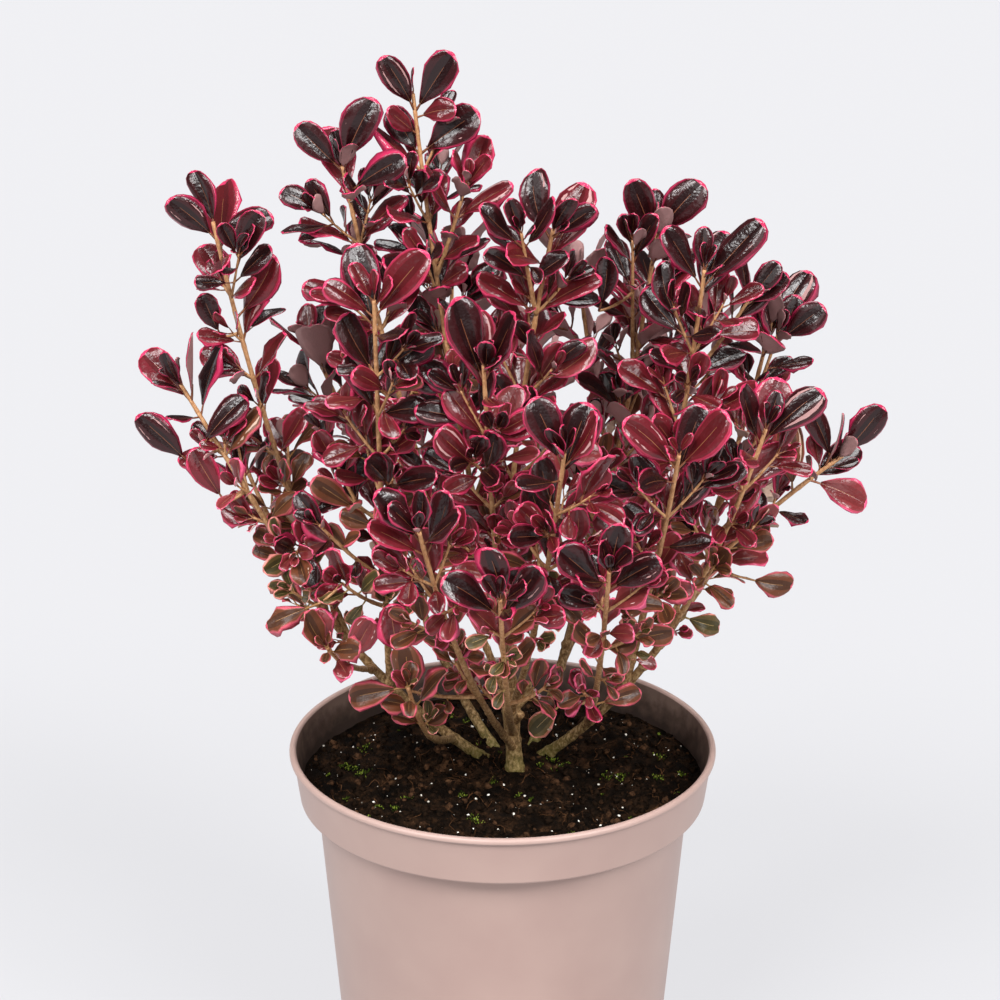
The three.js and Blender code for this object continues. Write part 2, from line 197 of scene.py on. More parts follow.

# Inside the lip the same plastic is darkened, partly by peat washed up the wall as stains and
# partly by painted shade of the inner wall, darkest towards the soil.
peat_stain_and_painted_shade, tree, shader = new_material("polypropylene, peat-stained and painted shade inside", {"Roughness": 0.62})
place = add_node(tree, "TexCoord").outputs["Object"]
height = add_node(tree, "SeparateXYZ", {0: place}).outputs["Z"]
splash = add_node(tree, "TexNoise", {"Vector": place, "Scale": 160, "Detail": 4, "Roughness": 0.55})
# Painted shade: the wall goes darker towards the soil, with blotches of peat stain over it.
level = add_node(
    tree,
    "MapRange",
    {"Value": height, "From Min": 0.134, "From Max": 0.149, "To Min": -0.3, "To Max": 0.42},
)
stain_and_shade = add_node(tree, "Math", {0: level.outputs[0], 1: splash.outputs["Fac"]}, operation="ADD")
tone = add_node(
    tree,
    "ValToRGB",
    {"Fac": stain_and_shade.outputs[0]},
    stops=[(0.3, "#34261f"), (0.6, "#56443b"), (0.9, "#7a645a")],
)
tree.links.new(tone.outputs["Color"], shader.inputs["Base Color"])
pot.data.materials.append(satin)
pot.data.materials.append(peat_stain_and_painted_shade)
# The faces inside the lip, above the foot, take the peat stains and painted shade.
for face in pot.data.polygons:
    centre = face.center
    inward = face.normal.x * centre.x + face.normal.y * centre.y < 0
    radius = math.hypot(centre.x, centre.y)
    on_floor = face.normal.z > 0.5 and centre.z < 10 * MM
    under_lip = radius < LIP_INNER_RADIUS * MM and centre.z < (POT_HEIGHT - 1) * MM
    over_foot = centre.z > 1.5 * MM
    face.material_index = int(under_lip and over_foot and (inward or on_floor))
select_only(pot)
bpy.ops.object.shade_smooth_by_angle(angle=math.radians(32))
hand_over(pot, ["pot"])

# Potting soil
# The root ball: moist dark peat that fills the pot to 15 mm under its lip, pressed by hand and
# crumbly on top, with a low mound round the stems.
SOIL_Z = 135
SOIL_PROFILE = [(61.8, 2.3), (72.3, 130.7), (79, 130.7), (80.1, SOIL_Z)]
SOIL_SIDES = 96
SOIL_RADIUS = SOIL_PROFILE[-1][0]
SOIL_TOP = (SOIL_Z - 0.1) * MM
# Broad hollows, lumps and crumbs: how high, how wide, and their place in the noise.
SOIL_RELIEF = [(2.6, 30, 0.5), (2.6, 9, 4.5), (1.7, 3.6, 9.5)]
# The surface lies a little lower than the solid's, and is calmer along the wall.
SOIL_DIP = 0.9
CALM_WIDTH = 9
CALM_RELIEF = 0.35
MOUND_HEIGHT = 1.6
MOUND_CENTRE = (5, 20)
MOUND_REACH = 30


def soil_height(x, y):
    """The height of the soil's surface."""
    relief = sum(high * noise((x / wide, y / wide, layer)) for high, wide, layer in SOIL_RELIEF)
    open_soil = min(1, (SOIL_RADIUS - math.hypot(x, y)) / CALM_WIDTH)
    off_mound = math.hypot(x - MOUND_CENTRE[0], y - MOUND_CENTRE[1]) / MOUND_REACH
    mound = MOUND_HEIGHT * math.exp(-(off_mound**2))
    return SOIL_Z - SOIL_DIP + relief * (CALM_RELIEF + (1 - CALM_RELIEF) * open_soil) + mound


# The flat lid of the turned shape is taken off, and a fine grid laid in its place.
soil = turned("potting_soil", SOIL_PROFILE, SOIL_SIDES)
bpy.context.tool_settings.mesh_select_mode = (False, False, True)
for corner_or_edge in (*soil.data.vertices, *soil.data.edges):
    corner_or_edge.select = False
for face in soil.data.polygons:
    face.select = face.center.z > SOIL_TOP
bpy.ops.object.mode_set(mode="EDIT")
bpy.ops.mesh.delete(type="ONLY_FACE")
bpy.ops.mesh.select_mode(type="EDGE")
bpy.ops.mesh.select_all(action="DESELECT")
bpy.ops.mesh.select_non_manifold()
bpy.ops.mesh.fill_grid(span=SOIL_SIDES // 4)
bpy.ops.mesh.subdivide(number_cuts=6)
bpy.ops.mesh.select_all(action="SELECT")
bpy.ops.mesh.normals_make_consistent(inside=False)
bpy.ops.object.mode_set(mode="OBJECT")
for point in soil.data.vertices:
    if point.co.z > SOIL_TOP:
        point.co.z = soil_height(point.co.x / MM, point.co.y / MM) * MM
soil.data.shade_smooth()

# Moist peat is nearly black, brown where it dries on the crumbs, and glints a little where it is
# wet. Its crumbs are 0.5 to 3 mm.
peat, tree, shader = new_material("moist peat", {"Specular IOR Level": 0.04})
place = add_node(tree, "TexCoord").outputs["Object"]
patches = add_node(
    tree, "TexNoise", {"Vector": place, "Scale": 110, "Detail": 8, "Roughness": 0.72}
)
tone = add_node(
    tree,
    "ValToRGB",
    {"Fac": patches.outputs["Fac"]},
    stops=[(0.38, "#050302"), (0.5, "#130c07"), (0.6, "#2c1d12"), (0.74, "#614530")],
)
tree.links.new(tone.outputs["Color"], shader.inputs["Base Color"])
damp = add_node(
    tree,
    "MapRange",
    {
        "Value": patches.outputs["Fac"], "From Min": 0.35, "From Max": 0.65,
        "To Min": 0.55, "To Max": 0.95,
    },
)
tree.links.new(damp.outputs[0], shader.inputs["Roughness"])
crumbs = add_node(tree, "TexNoise", {"Vector": place, "Scale": 900, "Detail": 4, "Roughness": 0.65})
relief = add_node(
    tree, "Bump", {"Height": crumbs.outputs["Fac"], "Strength": 0.9, "Distance": 0.0009}
)
tree.links.new(relief.outputs["Normal"], shader.inputs["Normal"])
soil.data.materials.append(peat)
hand_over(soil, ["soil"])

# Litter on the soil
# What lies loose on potting soil: crumbs of peat, white perlite, chips of composted bark, root
# fibres and the first tufts of moss. Each lies half sunk in the surface.
CRUMBS = 3400
MOIST_CRUMBS = 0.86
PERLITE = 260
CHIPS = 70
FIBRES = 110
FIBRE_STEPS = 5
MOSS_TUFTS = 50
MOSS_BLADES = 16
SHADED_MOSS = 0.6
ICO_ANGLE = math.atan(0.5)
MOIST, DRYING, WHITE, CHIP, FIBRE, PAINTED_SHADE_MOSS, NEW_MOSS = range(7)


class Joined:
    """Many small shapes gathered as arrays in millimetres, and built as one mesh."""

    def __init__(self):
        self.points = []
        self.faces = []
        self.slots = []
        self.values = []
        self.total = 0

    def add(self, points, faces, slots, value=0.0):
        """Adds one shape, with a material slot for each face and a value for the points."""
        self.points.append(points)
        self.faces += [[self.total + i for i in face] for face in faces]
        self.slots += slots
        self.values.append(np.broadcast_to(value, len(points)))
        self.total += len(points)

    def build(self, name, materials, attribute=None):
        """The finished piece, which holds the values as an attribute where one is named."""
        mesh = bpy.data.meshes.new(name)
        mesh.from_pydata((np.concatenate(self.points) * MM).tolist(), [], self.faces)
        mesh.polygons.foreach_set("material_index", self.slots)
        for material in materials:
            mesh.materials.append(material)
        if attribute:
            layer = mesh.attributes.new(attribute, "FLOAT", "POINT")
            layer.data.foreach_set("value", np.concatenate(self.values).astype(np.float32))
        mesh.shade_smooth()
        piece = bpy.data.objects.new(name, mesh)
        bpy.context.collection.objects.link(piece)
        return piece


def turn_matrix(rng):
    """A turn to any side, as a matrix."""
    a, b, c = rng.uniform(0, 2 * math.pi, 3)
    about_z = np.array([[math.cos(a), -math.sin(a), 0], [math.sin(a), math.cos(a), 0], [0, 0, 1]])
    about_x = np.array([[1, 0, 0], [0, math.cos(b), -math.sin(b)], [0, math.sin(b), math.cos(b)]])
    about_y = np.array([[math.cos(c), 0, math.sin(c)], [0, 1, 0], [-math.sin(c), 0, math.cos(c)]])
    return about_z @ about_x @ about_y


# A grain has 12 points and 20 faces: a pole, two rings of five, and a pole.
grain_points = [(0, 0, 1)]
for ring in range(2):
    for k in range(5):
        turn = 2 * math.pi * (k + 0.5 * ring) / 5
        reach, lift = math.cos(ICO_ANGLE), math.sin(ICO_ANGLE) * (1 - 2 * ring)
        grain_points.append((reach * math.cos(turn), reach * math.sin(turn), lift))
grain_points = np.array([*grain_points, (0, 0, -1)])
grain_faces = []
for k in range(5):
    after = (k + 1) % 5
    grain_faces += [
        [0, 1 + k, 1 + after],
        [1 + k, 6 + k, 1 + after],
        [1 + after, 6 + k, 6 + after],
        [11, 6 + after, 6 + k],
    ]

rng = np.random.default_rng(7)
litter = Joined()


def spot_on_soil(margin):
    """A place on the soil, evenly spread, this far in from the wall."""
    reach = (SOIL_RADIUS - margin) * math.sqrt(rng.uniform())
    turn = rng.uniform(0, 2 * math.pi)
    x, y = reach * math.cos(turn), reach * math.sin(turn)
    return np.array([x, y, soil_height(x, y)])


def scatter_grains(count, smallest, largest, height, slot_of):
    """Lumps of any turn, more small ones than large, each knocked out of round.

    Their height is given as a share of their width.
    """
    for _ in range(count):
        size = smallest + (largest - smallest) * rng.uniform() ** 3
        shape = grain_points * rng.uniform(0.7, 1.25, (12, 1)) * (1, rng.uniform(0.6, 1), height)
        points = shape @ turn_matrix(rng).T * size + spot_on_soil(size)
        litter.add(points, grain_faces, [slot_of()] * len(grain_faces))


scatter_grains(CRUMBS, 0.4, 2.3, 0.75, lambda: MOIST if rng.uniform() < MOIST_CRUMBS else DRYING)
scatter_grains(PERLITE, 0.2, 0.8, 0.8, lambda: WHITE)
scatter_grains(CHIPS, 1.2, 4.2, 0.28, lambda: CHIP)


def tube_faces(rings, sides):
    """The faces of a tube through rings of points, closed at both ends."""
    faces = []
    for i in range(rings - 1):
        low, high = i * sides, (i + 1) * sides
        for k in range(sides):
            after = (k + 1) % sides
            faces.append([low + k, low + after, high + after, high + k])
    last = (rings - 1) * sides
    return [*faces, list(range(sides))[::-1], [last + k for k in range(sides)]]


def thread(points, radius, sides=3):
    """A thin tube through points, tapered to both ends."""
    askew = (0.31, 0.17, 0.94)
    points = np.array(points)
    along = np.gradient(points, axis=0)
    along /= np.linalg.norm(along, axis=1, keepdims=True)
    aside = np.cross(along, askew)
    aside /= np.linalg.norm(aside, axis=1, keepdims=True)
    over = np.cross(along, aside)
    taper = radius * (0.35 + 0.65 * np.sin(np.linspace(0.2, math.pi - 0.2, len(points))))
    angles = 2 * math.pi * np.arange(sides) / sides
    cosines, sines = np.cos(angles)[None, :, None], np.sin(angles)[None, :, None]
    spokes = cosines * aside[:, None] + sines * over[:, None]
    rings = points[:, None] + taper[:, None, None] * spokes
    return rings.reshape(-1, 3), tube_faces(len(points), sides)


for _ in range(FIBRES):
    start = spot_on_soil(10)
    turn = rng.uniform(0, 2 * math.pi)
    length = rng.uniform(3, 11)
    path = []
    for share in np.arange(FIBRE_STEPS + 1) / FIBRE_STEPS:
        x = start[0] + length * share * math.cos(turn)
        y = start[1] + length * share * math.sin(turn)
        turn += rng.uniform(-0.35, 0.35)
        if math.hypot(x, y) < SOIL_RADIUS - 1:
            arch = 1.6 * math.sin(share * math.pi) * rng.uniform()
            path.append((x, y, soil_height(x, y) + 0.5 + arch))
    if len(path) > 2:
        points, faces = thread(path, rng.uniform(0.1, 0.24))
        litter.add(points, faces, [FIBRE] * len(faces))

# Moss: tufts of short blades that lean apart.
for _ in range(MOSS_TUFTS):
    centre = spot_on_soil(6)
    spread = rng.uniform(0.4, 3)
    for _ in range(int(spread * MOSS_BLADES)):
        x, y = centre[:2] + rng.normal(0, spread / 2, 2)
        if math.hypot(x, y) > SOIL_RADIUS - 1:
            continue
        foot = np.array([x, y, soil_height(x, y) + 0.2])
        blade = np.array([*rng.uniform(-0.7, 0.7, 2), 1]) * rng.uniform(0.3, 1)
        path = [foot, foot + blade * (0.5, 0.5, 0.6), foot + blade]
        points, faces = thread(path, rng.uniform(0.16, 0.36))
        # A share of the blades take the darker moss, a copy of the moss with painted shade.
        slot = PAINTED_SHADE_MOSS if rng.uniform() < SHADED_MOSS else NEW_MOSS
        litter.add(points, faces, [slot] * len(faces))

# All of it is matt, with speckles of about 1.5 mm. The kinds stand in the order of the slots.
litter_materials = []
for name, dark, light, roughness in [
    ("peat crumb, moist", "#080503", "#20150d", 0.85),
    ("peat crumb, drying", "#1e130b", "#4a3323", 0.9),
    ("expanded perlite", "#c9c3b6", "#f4f1e9", 0.85),
    ("composted bark chip", "#100905", "#2e1d12", 0.8),
    ("root fibre", "#2b1a0f", "#5a3d27", 0.7),
    # The shaded moss is the same moss with painted shade.
    ("moss, shaded", "#1f290b", "#3d4a12", 0.6),
    ("moss, new growth", "#4f5e1a", "#84913a", 0.55),
]:
    values = {"Roughness": roughness, "Specular IOR Level": 0.04}
    material, tree, shader = new_material(name, values)
    place = add_node(tree, "TexCoord").outputs["Object"]
    speckle = add_node(tree, "TexNoise", {"Vector": place, "Scale": 700, "Detail": 3})
    speck = speckle.outputs["Fac"]
    tone = add_node(tree, "ValToRGB", {"Fac": speck}, stops=[(0.35, dark), (0.65, light)])
    tree.links.new(tone.outputs["Color"], shader.inputs["Base Color"])
    relief = add_node(tree, "Bump", {"Height": speck, "Strength": 0.6, "Distance": 0.0003})
    tree.links.new(relief.outputs["Normal"], shader.inputs["Normal"])
    litter_materials.append(material)
soil_litter = litter.build("soil_litter", litter_materials)
hand_over(soil_litter, ["soil"])

# Stems and boughs
# The woody frame: a knobbly trunk and four stems from the soil, a low fork, and the bare foot of
# each shoot. The curves are the source's own, and the bark is laid along them as a tube of rings,
# with leaf scars and fine ridges.
BEND_OUT = 0.62
BEND_UP = 0.42
CARRY_ON = 0.4
FLARE = 0.22
FLARE_HEIGHT = 5
KNOB = 0.3
KNOB_AT = 0.48
KNOB_HEIGHT = 9
BOUGH_RADIUS = 1.6
LEADER_RADIUS = 1.25
SCAR_SPACING = 13
SCAR_HEIGHT = 1.1
SUNK_DEPTH = 6
# Each stem: its foot on the soil or its fork, its top (x, y, height over the soil), and its radii.
STEMS = {
    "trunk": {"foot": (5, 6), "top": (2, 9, 62), "radii": (3.2, 2.1), "knob": KNOB},
    "stem_left": {"foot": (-8, 17), "top": (-79, 0, 87), "radii": (2.15, 1.35)},
    "stem_right": {"foot": (18, 21), "top": (73, -5, 79), "radii": (2.15, 1.35)},
    "stem_back_left": {"foot": (-4, 28), "top": (-38, 56, 64), "radii": (1.95, 1.35)},
    "stem_back_right": {"foot": (13, 31), "top": (34, 60, 68), "radii": (1.95, 1.35)},
    "stem_left_low": {"fork": ("stem_left", 0.14), "top": (-29, -24, 30), "radii": (1.7, 1.3)},
}
# Each shoot: the stem it forks from and where, its tip (x, y, height over the soil), and the share
# of it that is bare bough.
SHOOTS = {
    "left_reach": ("stem_left", 1, (-123, 0, 166), 0),
    "left_high": ("stem_left", 0.68, (-110, 15, 226), 0.14),
    "left_front": ("stem_left", 0.46, (-47, -40, 212), 0.2),
    "left_low": ("stem_left", 0.55, (-66, -54, 80), 0.16),
    "left_peak": ("trunk", 0.5, (-61, 25, 245), 0.3),
    "top_peak": ("trunk", 0.78, (-34, 30, 272), 0.2),
    "centre": ("trunk", 1, (19, 5, 226), 0),
    "centre_front": ("trunk", 0.62, (-7, -55, 192), 0.26),
    "front_high": ("trunk", 0.45, (22, -80, 167), 0.3),
    "front_low": ("trunk", 0.3, (-1, -103, 120), 0.34),
    "front_left": ("trunk", 0.18, (-30, -88, 140), 0.32),
    "foot_left": ("stem_left_low", 1, (-36, -50, 62), 0),
    "right_rear": ("stem_back_right", 0.55, (60, 40, 215), 0.2),
    "right_peak": ("stem_right", 0.5, (75, -15, 216), 0.2),
    "right_high": ("stem_right", 0.74, (104, 24, 183), 0.18),
    "right_mid": ("stem_right", 0.62, (98, -34, 160), 0.2),
    "right_reach": ("stem_right", 1, (131, 0, 137), 0),
    "front_right": ("stem_right", 0.4, (64, -65, 161), 0.22),
    "front_low_right": ("stem_right", 0.26, (38, -96, 128), 0.3),
    "rear_high_left": ("stem_back_left", 0.6, (-20, 76, 195), 0.2),
    "rear_left": ("stem_back_left", 1, (-77, 58, 164), 0),
    "rear_low_left": ("stem_back_left", 0.8, (-44, 106, 127), 0.2),
    "side_left": ("stem_left", 0.84, (-104, 46, 118), 0.2),
    "rear_high_right": ("stem_back_right", 1, (30, 78, 187), 0),
    "rear_centre": ("stem_back_right", 0.8, (6, 116, 145), 0.2),
    "rear_right": ("stem_back_right", 0.68, (80, 74, 164), 0.2),
    "rear_low_right": ("stem_back_right", 0.42, (60, 110, 112), 0.3),
    "side_right": ("stem_right", 0.9, (108, 56, 112), 0.2),
}
# Stubs left on the trunk's knob by pruning: height over the soil, turn in degrees, length, radius.
PRUNED_STUBS = [
    (24, -60, 9, 1.7), (29, 20, 12, 1.9), (33, -150, 7, 1.5), (35, -15, 10, 1.5), (27, 75, 11, 1.6),
    (39, 165, 8, 1.3),
]


def unit(vector):
    return vector / np.linalg.norm(vector)


def limb_curve(foot, tip, heading=None):
    """The three points of a limb's curve: flat and outward at first, steeper towards the tip."""
    foot, tip = np.array(foot, float), np.array(tip, float)
    run = tip - foot
    bend = run * (BEND_OUT, BEND_OUT, BEND_UP)
    if heading is not None:
        bend = heading * np.linalg.norm(run) * CARRY_ON
    return np.array([foot, foot + bend, tip])


def point_at(curve, t):
    """Points of a curve at shares of its way."""
    t = np.asarray(t, float)[..., None]
    return (1 - t) ** 2 * curve[0] + 2 * t * (1 - t) * curve[1] + t**2 * curve[2]


def heading_at(curve, t):
    """The directions in which a curve runs at shares of its way."""
    t = np.asarray(t, float)[..., None]
    run = (1 - t) * (curve[1] - curve[0]) + t * (curve[2] - curve[1])
    return run / np.linalg.norm(run, axis=-1, keepdims=True)


def length_of(curve):
    points = point_at(curve, np.linspace(0, 1, 100))
    return float(np.linalg.norm(np.diff(points, axis=0), axis=1).sum())


def across_of(heading):
    """A direction square to a heading."""
    aside = (0, 0, 1) if abs(heading[2]) < 0.9 else (1, 0, 0)
    return unit(np.cross(aside, heading))


def tube(curve, shares, radii, sides, roughness):
    """Round wood along a curve, closed at both ends, its bark ridged along the grain."""
    headings = heading_at(curve, shares)
    across = np.cross(heading_at(curve, 0), heading_at(curve, 1))
    across = unit(across) if np.linalg.norm(across) > 1e-3 else across_of(headings[0])
    outward = np.cross(across, headings)
    outward /= np.linalg.norm(outward, axis=1, keepdims=True)
    angles = 2 * math.pi * np.arange(sides) / sides
    cosines, sines = np.cos(angles)[None, :, None], np.sin(angles)[None, :, None]
    spokes = cosines * across + sines * outward[:, None]
    centres = point_at(curve, shares)
    rings = centres[:, None] + radii[:, None, None] * spokes
    along = np.array(shares) * length_of(curve)
    swell = np.ones((len(radii), sides, 1))
    for i, ring in enumerate(rings):
        for k, point in enumerate(ring):
            ridge = noise((2 * math.cos(angles[k]), 2 * math.sin(angles[k]), along[i] / 9))
            lump = noise(point / 3)
            swell[i, k] += roughness * (ridge + lump)
    rings = centres[:, None] + radii[:, None, None] * spokes * swell
    return rings.reshape(-1, 3), tube_faces(len(shares), sides)


def lay_wood(joined, curve, span, radius_at, youth, sides, pace, roughness, scars=SCAR_SPACING):
    """Adds the wood of one limb between two shares of its curve.

    A ring of points stands every pace, and the wood swells at each leaf scar. Youth is given for
    both ends.
    """
    length = length_of(curve)
    count = max(4, int(abs(span[1] - span[0]) * length / pace))
    shares = np.linspace(*span, count + 1)
    phase = (shares * length / scars + 0.35) % 1
    scar = 1 + 0.16 * np.exp(-(((phase - 0.5) * scars / SCAR_HEIGHT) ** 2))
    radii = np.array([radius_at(t) for t in shares]) * scar
    points, faces = tube(curve, shares, radii, sides, roughness)
    joined.add(points, faces, [0] * len(faces), np.repeat(np.interp(shares, span, youth), sides))


curves = {}
old_wood = Joined()
for name, row in STEMS.items():
    rooted = "foot" in row
    foot = (*row["foot"], SOIL_Z) if rooted else point_at(curves[row["fork"][0]], row["fork"][1])
    curves[name] = limb_curve(foot, np.array(row["top"]) + (0, 0, SOIL_Z))
    length = length_of(curves[name])

    def stem_radius(t, row=row, rooted=rooted, length=length):
        flare = FLARE * math.exp(-max(t, -0.02) * length / FLARE_HEIGHT) if rooted else 0
        knob = row.get("knob", 0) * math.exp(-(((t - KNOB_AT) * length / KNOB_HEIGHT) ** 2))
        return (row["radii"][0] * (1 - t) + row["radii"][1] * t) * (1 + flare + knob)

    start = -SUNK_DEPTH / length if rooted else 0
    lay_wood(
        old_wood, curves[name], (start, 1.01), stem_radius, (0, 0.35),
        sides=16, pace=0.9, roughness=0.07,
    )
leaders = []
for name, (parent, fork, tip, bare) in SHOOTS.items():
    foot = point_at(curves[parent], fork)
    heading = heading_at(curves[parent], 1) if fork == 1 else None
    curve = limb_curve(foot, np.array(tip) + (0, 0, SOIL_Z), heading)
    leaders.append({"name": name, "curve": curve, "start": bare, "length": length_of(curve)})
    if bare:
        length = leaders[-1]["length"]

        def bough_radius(t, length=length, bare=bare):
            collar = 0.3 * math.exp(-(((t * length - 2) / 2.2) ** 2))
            return (BOUGH_RADIUS + (LEADER_RADIUS - BOUGH_RADIUS) * t / bare) * (1 + collar)

        lay_wood(
            old_wood, curve, (0, bare), bough_radius, (0.25, 0.45),
            sides=12, pace=1.0, roughness=0.05,
        )
for height, turn, length, radius in PRUNED_STUBS:
    foot = point_at(curves["trunk"], height / STEMS["trunk"]["top"][2])
    side = np.array([math.cos(math.radians(turn)), math.sin(math.radians(turn)), 0.75])
    curve = limb_curve(foot, foot + unit(side) * length)
    lay_wood(
        old_wood, curve, (0, 1), lambda t, r=radius: r * (1.25 - 0.3 * t), (0.1, 0.3),
        sides=10, pace=0.9, roughness=0.14,
    )


# Young bark is smooth and tan, and turns grey-brown and finely ridged with age. The trunk's foot
# is green with algae where the soil keeps it damp. Its grain is drawn at 1 mm, so that it shows.
def wood_material(name, roughness):
    """Bark that goes by the attribute youth, from 0 for the oldest to 1 for this season's.

    The colours of a Mix node are its sockets 6 and 7, and its output is 2.
    """
    values = {"Roughness": roughness, "Specular IOR Level": 0.35}
    material, tree, shader = new_material(name, values)
    place = add_node(tree, "TexCoord").outputs["Object"]
    drawn_out = add_node(tree, "Mapping", {"Vector": place, "Scale": (1, 1, 0.6)}).outputs["Vector"]
    grain = add_node(
        tree, "TexNoise", {"Vector": drawn_out, "Scale": 900, "Detail": 5, "Roughness": 0.65}
    ).outputs["Fac"]
    old = add_node(
        tree,
        "ValToRGB",
        {"Fac": grain},
        stops=[(0.36, "#3e2f19"), (0.5, "#80653d"), (0.62, "#b3976c")],
    ).outputs["Color"]
    young = add_node(
        tree, "ValToRGB", {"Fac": grain}, stops=[(0.3, "#9a653e"), (0.7, "#cb9c70")]
    ).outputs["Color"]
    youth = add_node(tree, "Attribute", attribute_name="youth").outputs["Fac"]
    bark = add_node(tree, "Mix", {0: youth, 6: old, 7: young}, data_type="RGBA").outputs[2]
    height = add_node(tree, "SeparateXYZ", {0: place}).outputs["Z"]
    level = add_node(
        tree,
        "MapRange",
        {"Value": height, "From Min": 0.134, "From Max": 0.148, "To Min": 1.3, "To Max": 0},
    )
    damp = add_node(tree, "TexNoise", {"Vector": place, "Scale": 260, "Detail": 4})
    algae = add_node(
        tree, "Math", {0: level.outputs[0], 1: damp.outputs["Fac"]}, operation="MULTIPLY"
    )
    skin = add_node(
        tree, "Mix", {0: algae.outputs[0], 6: bark, 7: linear("#56591a")}, data_type="RGBA"
    )
    tree.links.new(skin.outputs[2], shader.inputs["Base Color"])
    relief = add_node(tree, "Bump", {"Height": grain, "Strength": 0.5, "Distance": 0.0003})
    tree.links.new(relief.outputs["Normal"], shader.inputs["Normal"])
    return material


old_bark = wood_material("ridged bark", 0.75)
stems_and_boughs = old_wood.build("stems_and_boughs", [old_bark], "youth")
limb_nodes = [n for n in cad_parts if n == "trunk" or n.startswith(("stem_", "bough_"))]
hand_over(stems_and_boughs, limb_nodes)

# Young shoots and twigs
# The leafy wood: each shoot carries on from its bough by the source's rule, with two leaves at
# each node, turned a quarter from node to node, and side twigs in their axils.
TIP_RADIUS = 0.75
# The pairs of leaves at a tip: how far below it, their angle in degrees, and their size.
TIP_PAIRS = [(0.2, 9, 0.36), (2.5, 17, 0.74), (6.5, 28, 1.08), (12.5, 40, 1.1)]
NODE_SPACING = 16
NODE_ANGLE = 50
# How far the leaves turn up from their wood at a tip and below it.
TIP_RISE = 0.5
NODE_RISE = 0.25
# The size of a leaf at the shoot's foot, and the least size at a tip in the shade.
FOOT_LEAF_SIZE = 0.7
LOW_TIP_VIGOUR = 0.78
# How wide some tips are open, as a share of the usual angles.
TIP_OPENING = {
    "left_high": 1.6, "left_peak": 1.15, "centre": 1.2, "right_peak": 1.2, "right_reach": 1.2,
    "centre_front": 0.9,
}
# Tips whose pairs stand in places of their own, and which of the pairs do: see the single leaves.
PLACED_PAIRS = {
    "top_peak": (1, 2, 3), "left_peak": (2,), "left_high": (1, 2), "right_rear": (2,),
    "centre": (2,),
}
# A twig leans so many degrees from its shoot, and the shorter tuft so many radians.
TWIG_LENGTH = 17
TWIG_ANGLE = 38
TWIG_MARGIN = 2
TWIGS_BELOW = 22
TUFT_LENGTH = 6
TUFT_LEAN = 0.6
# The chance of a twig in the first and in the second axil of a node.
FIRST_TWIG = 0.8
SECOND_TWIG = 0.45
# The pairs on a twig, on a long one and on a tuft: the share of its length, angle and size.
TWIG_PAIRS = [(1, 10, 0.34), (0.92, 22, 0.6), (0.7, 34, 0.86), (0.38, 50, 0.76)]
LONG_TWIG_PAIRS = [
    (1, 9, 0.34), (0.93, 20, 0.6), (0.84, 32, 0.88), (0.66, 44, 0.82), (0.46, 50, 0.7),
]
TUFT_PAIRS = [(1, 14, 0.38), (0.6, 38, 0.58)]
# The crown's underside is a shallow bowl about this place, this high over the soil at its lowest.
# Leaves are old up to one height over it, or this far down a shoot, and small up to another.
BOWL_X, BOWL_Y = 3, 12
BARE_HEIGHT = 35
UNDERSIDE_SLOPE = 0.38
OLD_DEPTH = 52
OLD_LENGTH = 120
VIGOROUS_HEIGHT = 95
SHADED_VIGOUR = 0.68
# Shoots that bear leaves under it too.
LOW_SHOOTS = ("foot_left",)
# The light comes from above and from the open side, most of it from the viewer's, where the plant
# has stood towards a window. The first large pair at a tip stands square to it.
UP = np.array([0, 0, 1.0])
MIDDLE_Y = 48
MIDDLE_REACH = 80
OPEN_REACH = 45
TIP_TURN_SPREAD = 0.4
# Shoots with fewer and larger leaves: the share of twigs that they keep.
SPARSE_SHOOTS = {
    "right_reach": 0, "side_right": 0.1, "right_high": 0.4, "right_mid": 0.6, "left_high": 0.3,
    "left_reach": 0.4, "side_left": 0.6,
}
SPARSE_VIGOUR = 0.85
# How far a leaf may reach into the next shoot's space, and how clear it stays of wood and pot.
SPACE_OVERLAP = 15
LIMB_MARGIN = 0.5
POT_CLEARANCE = 2.5
STEPS = 14


def chance(a, b, c):
    """A number from 0 to 1 that is always the same for the same three numbers."""
    s = math.sin(a * 12.9898 + b * 78.233 + c * 37.719) * 43758.5453
    return s - math.floor(s)


def spun(vector, axis, angle):
    """A direction square to an axis, turned about it."""
    return vector * math.cos(angle) + np.cross(axis, vector) * math.sin(angle)


class MiddleLines:
    """The middle lines of wood as short steps, each with its radius."""

    def __init__(self):
        self.starts = np.zeros((0, 3))
        self.runs = np.zeros((0, 3))
        self.radii = np.zeros(0)

    def add(self, curve, start, radius, steps):
        points = point_at(curve, np.linspace(start, 1, steps + 1))
        self.starts = np.vstack([self.starts, points[:-1]])
        self.runs = np.vstack([self.runs, np.diff(points, axis=0)])
        self.radii = np.append(self.radii, np.full(steps, radius))

    def distances(self, points):
        """From each point to each step's middle line."""
        away = points[:, None] - self.starts
        share = np.clip((away * self.runs).sum(2) / (self.runs**2).sum(1), 0, 1)
        return np.linalg.norm(away - share[..., None] * self.runs, axis=2)

    def nearest(self, point):
        """The place on the lines that is nearest to a point."""
        share = np.clip(((point - self.starts) * self.runs).sum(1) / (self.runs**2).sum(1), 0, 1)
        places = self.starts + share[:, None] * self.runs
        return places[np.linalg.norm(places - point, axis=1).argmin()]

    def clearance(self, points):
        """From the points to the nearest wood surface."""
        return (self.distances(points) - self.radii).min()


leader_lines = MiddleLines()
wood_lines = MiddleLines()
for name, row in STEMS.items():
    wood_lines.add(curves[name], 0, row["radii"][0], STEPS)
for leader in leaders:
    leader_lines.add(leader["curve"], leader["start"], 0, STEPS)
    wood_lines.add(leader["curve"], 0, BOUGH_RADIUS, STEPS)


def shoot_distances(points):
    """From each point to the middle line of each shoot."""
    return leader_lines.distances(points).reshape(len(points), -1, STEPS).min(2)


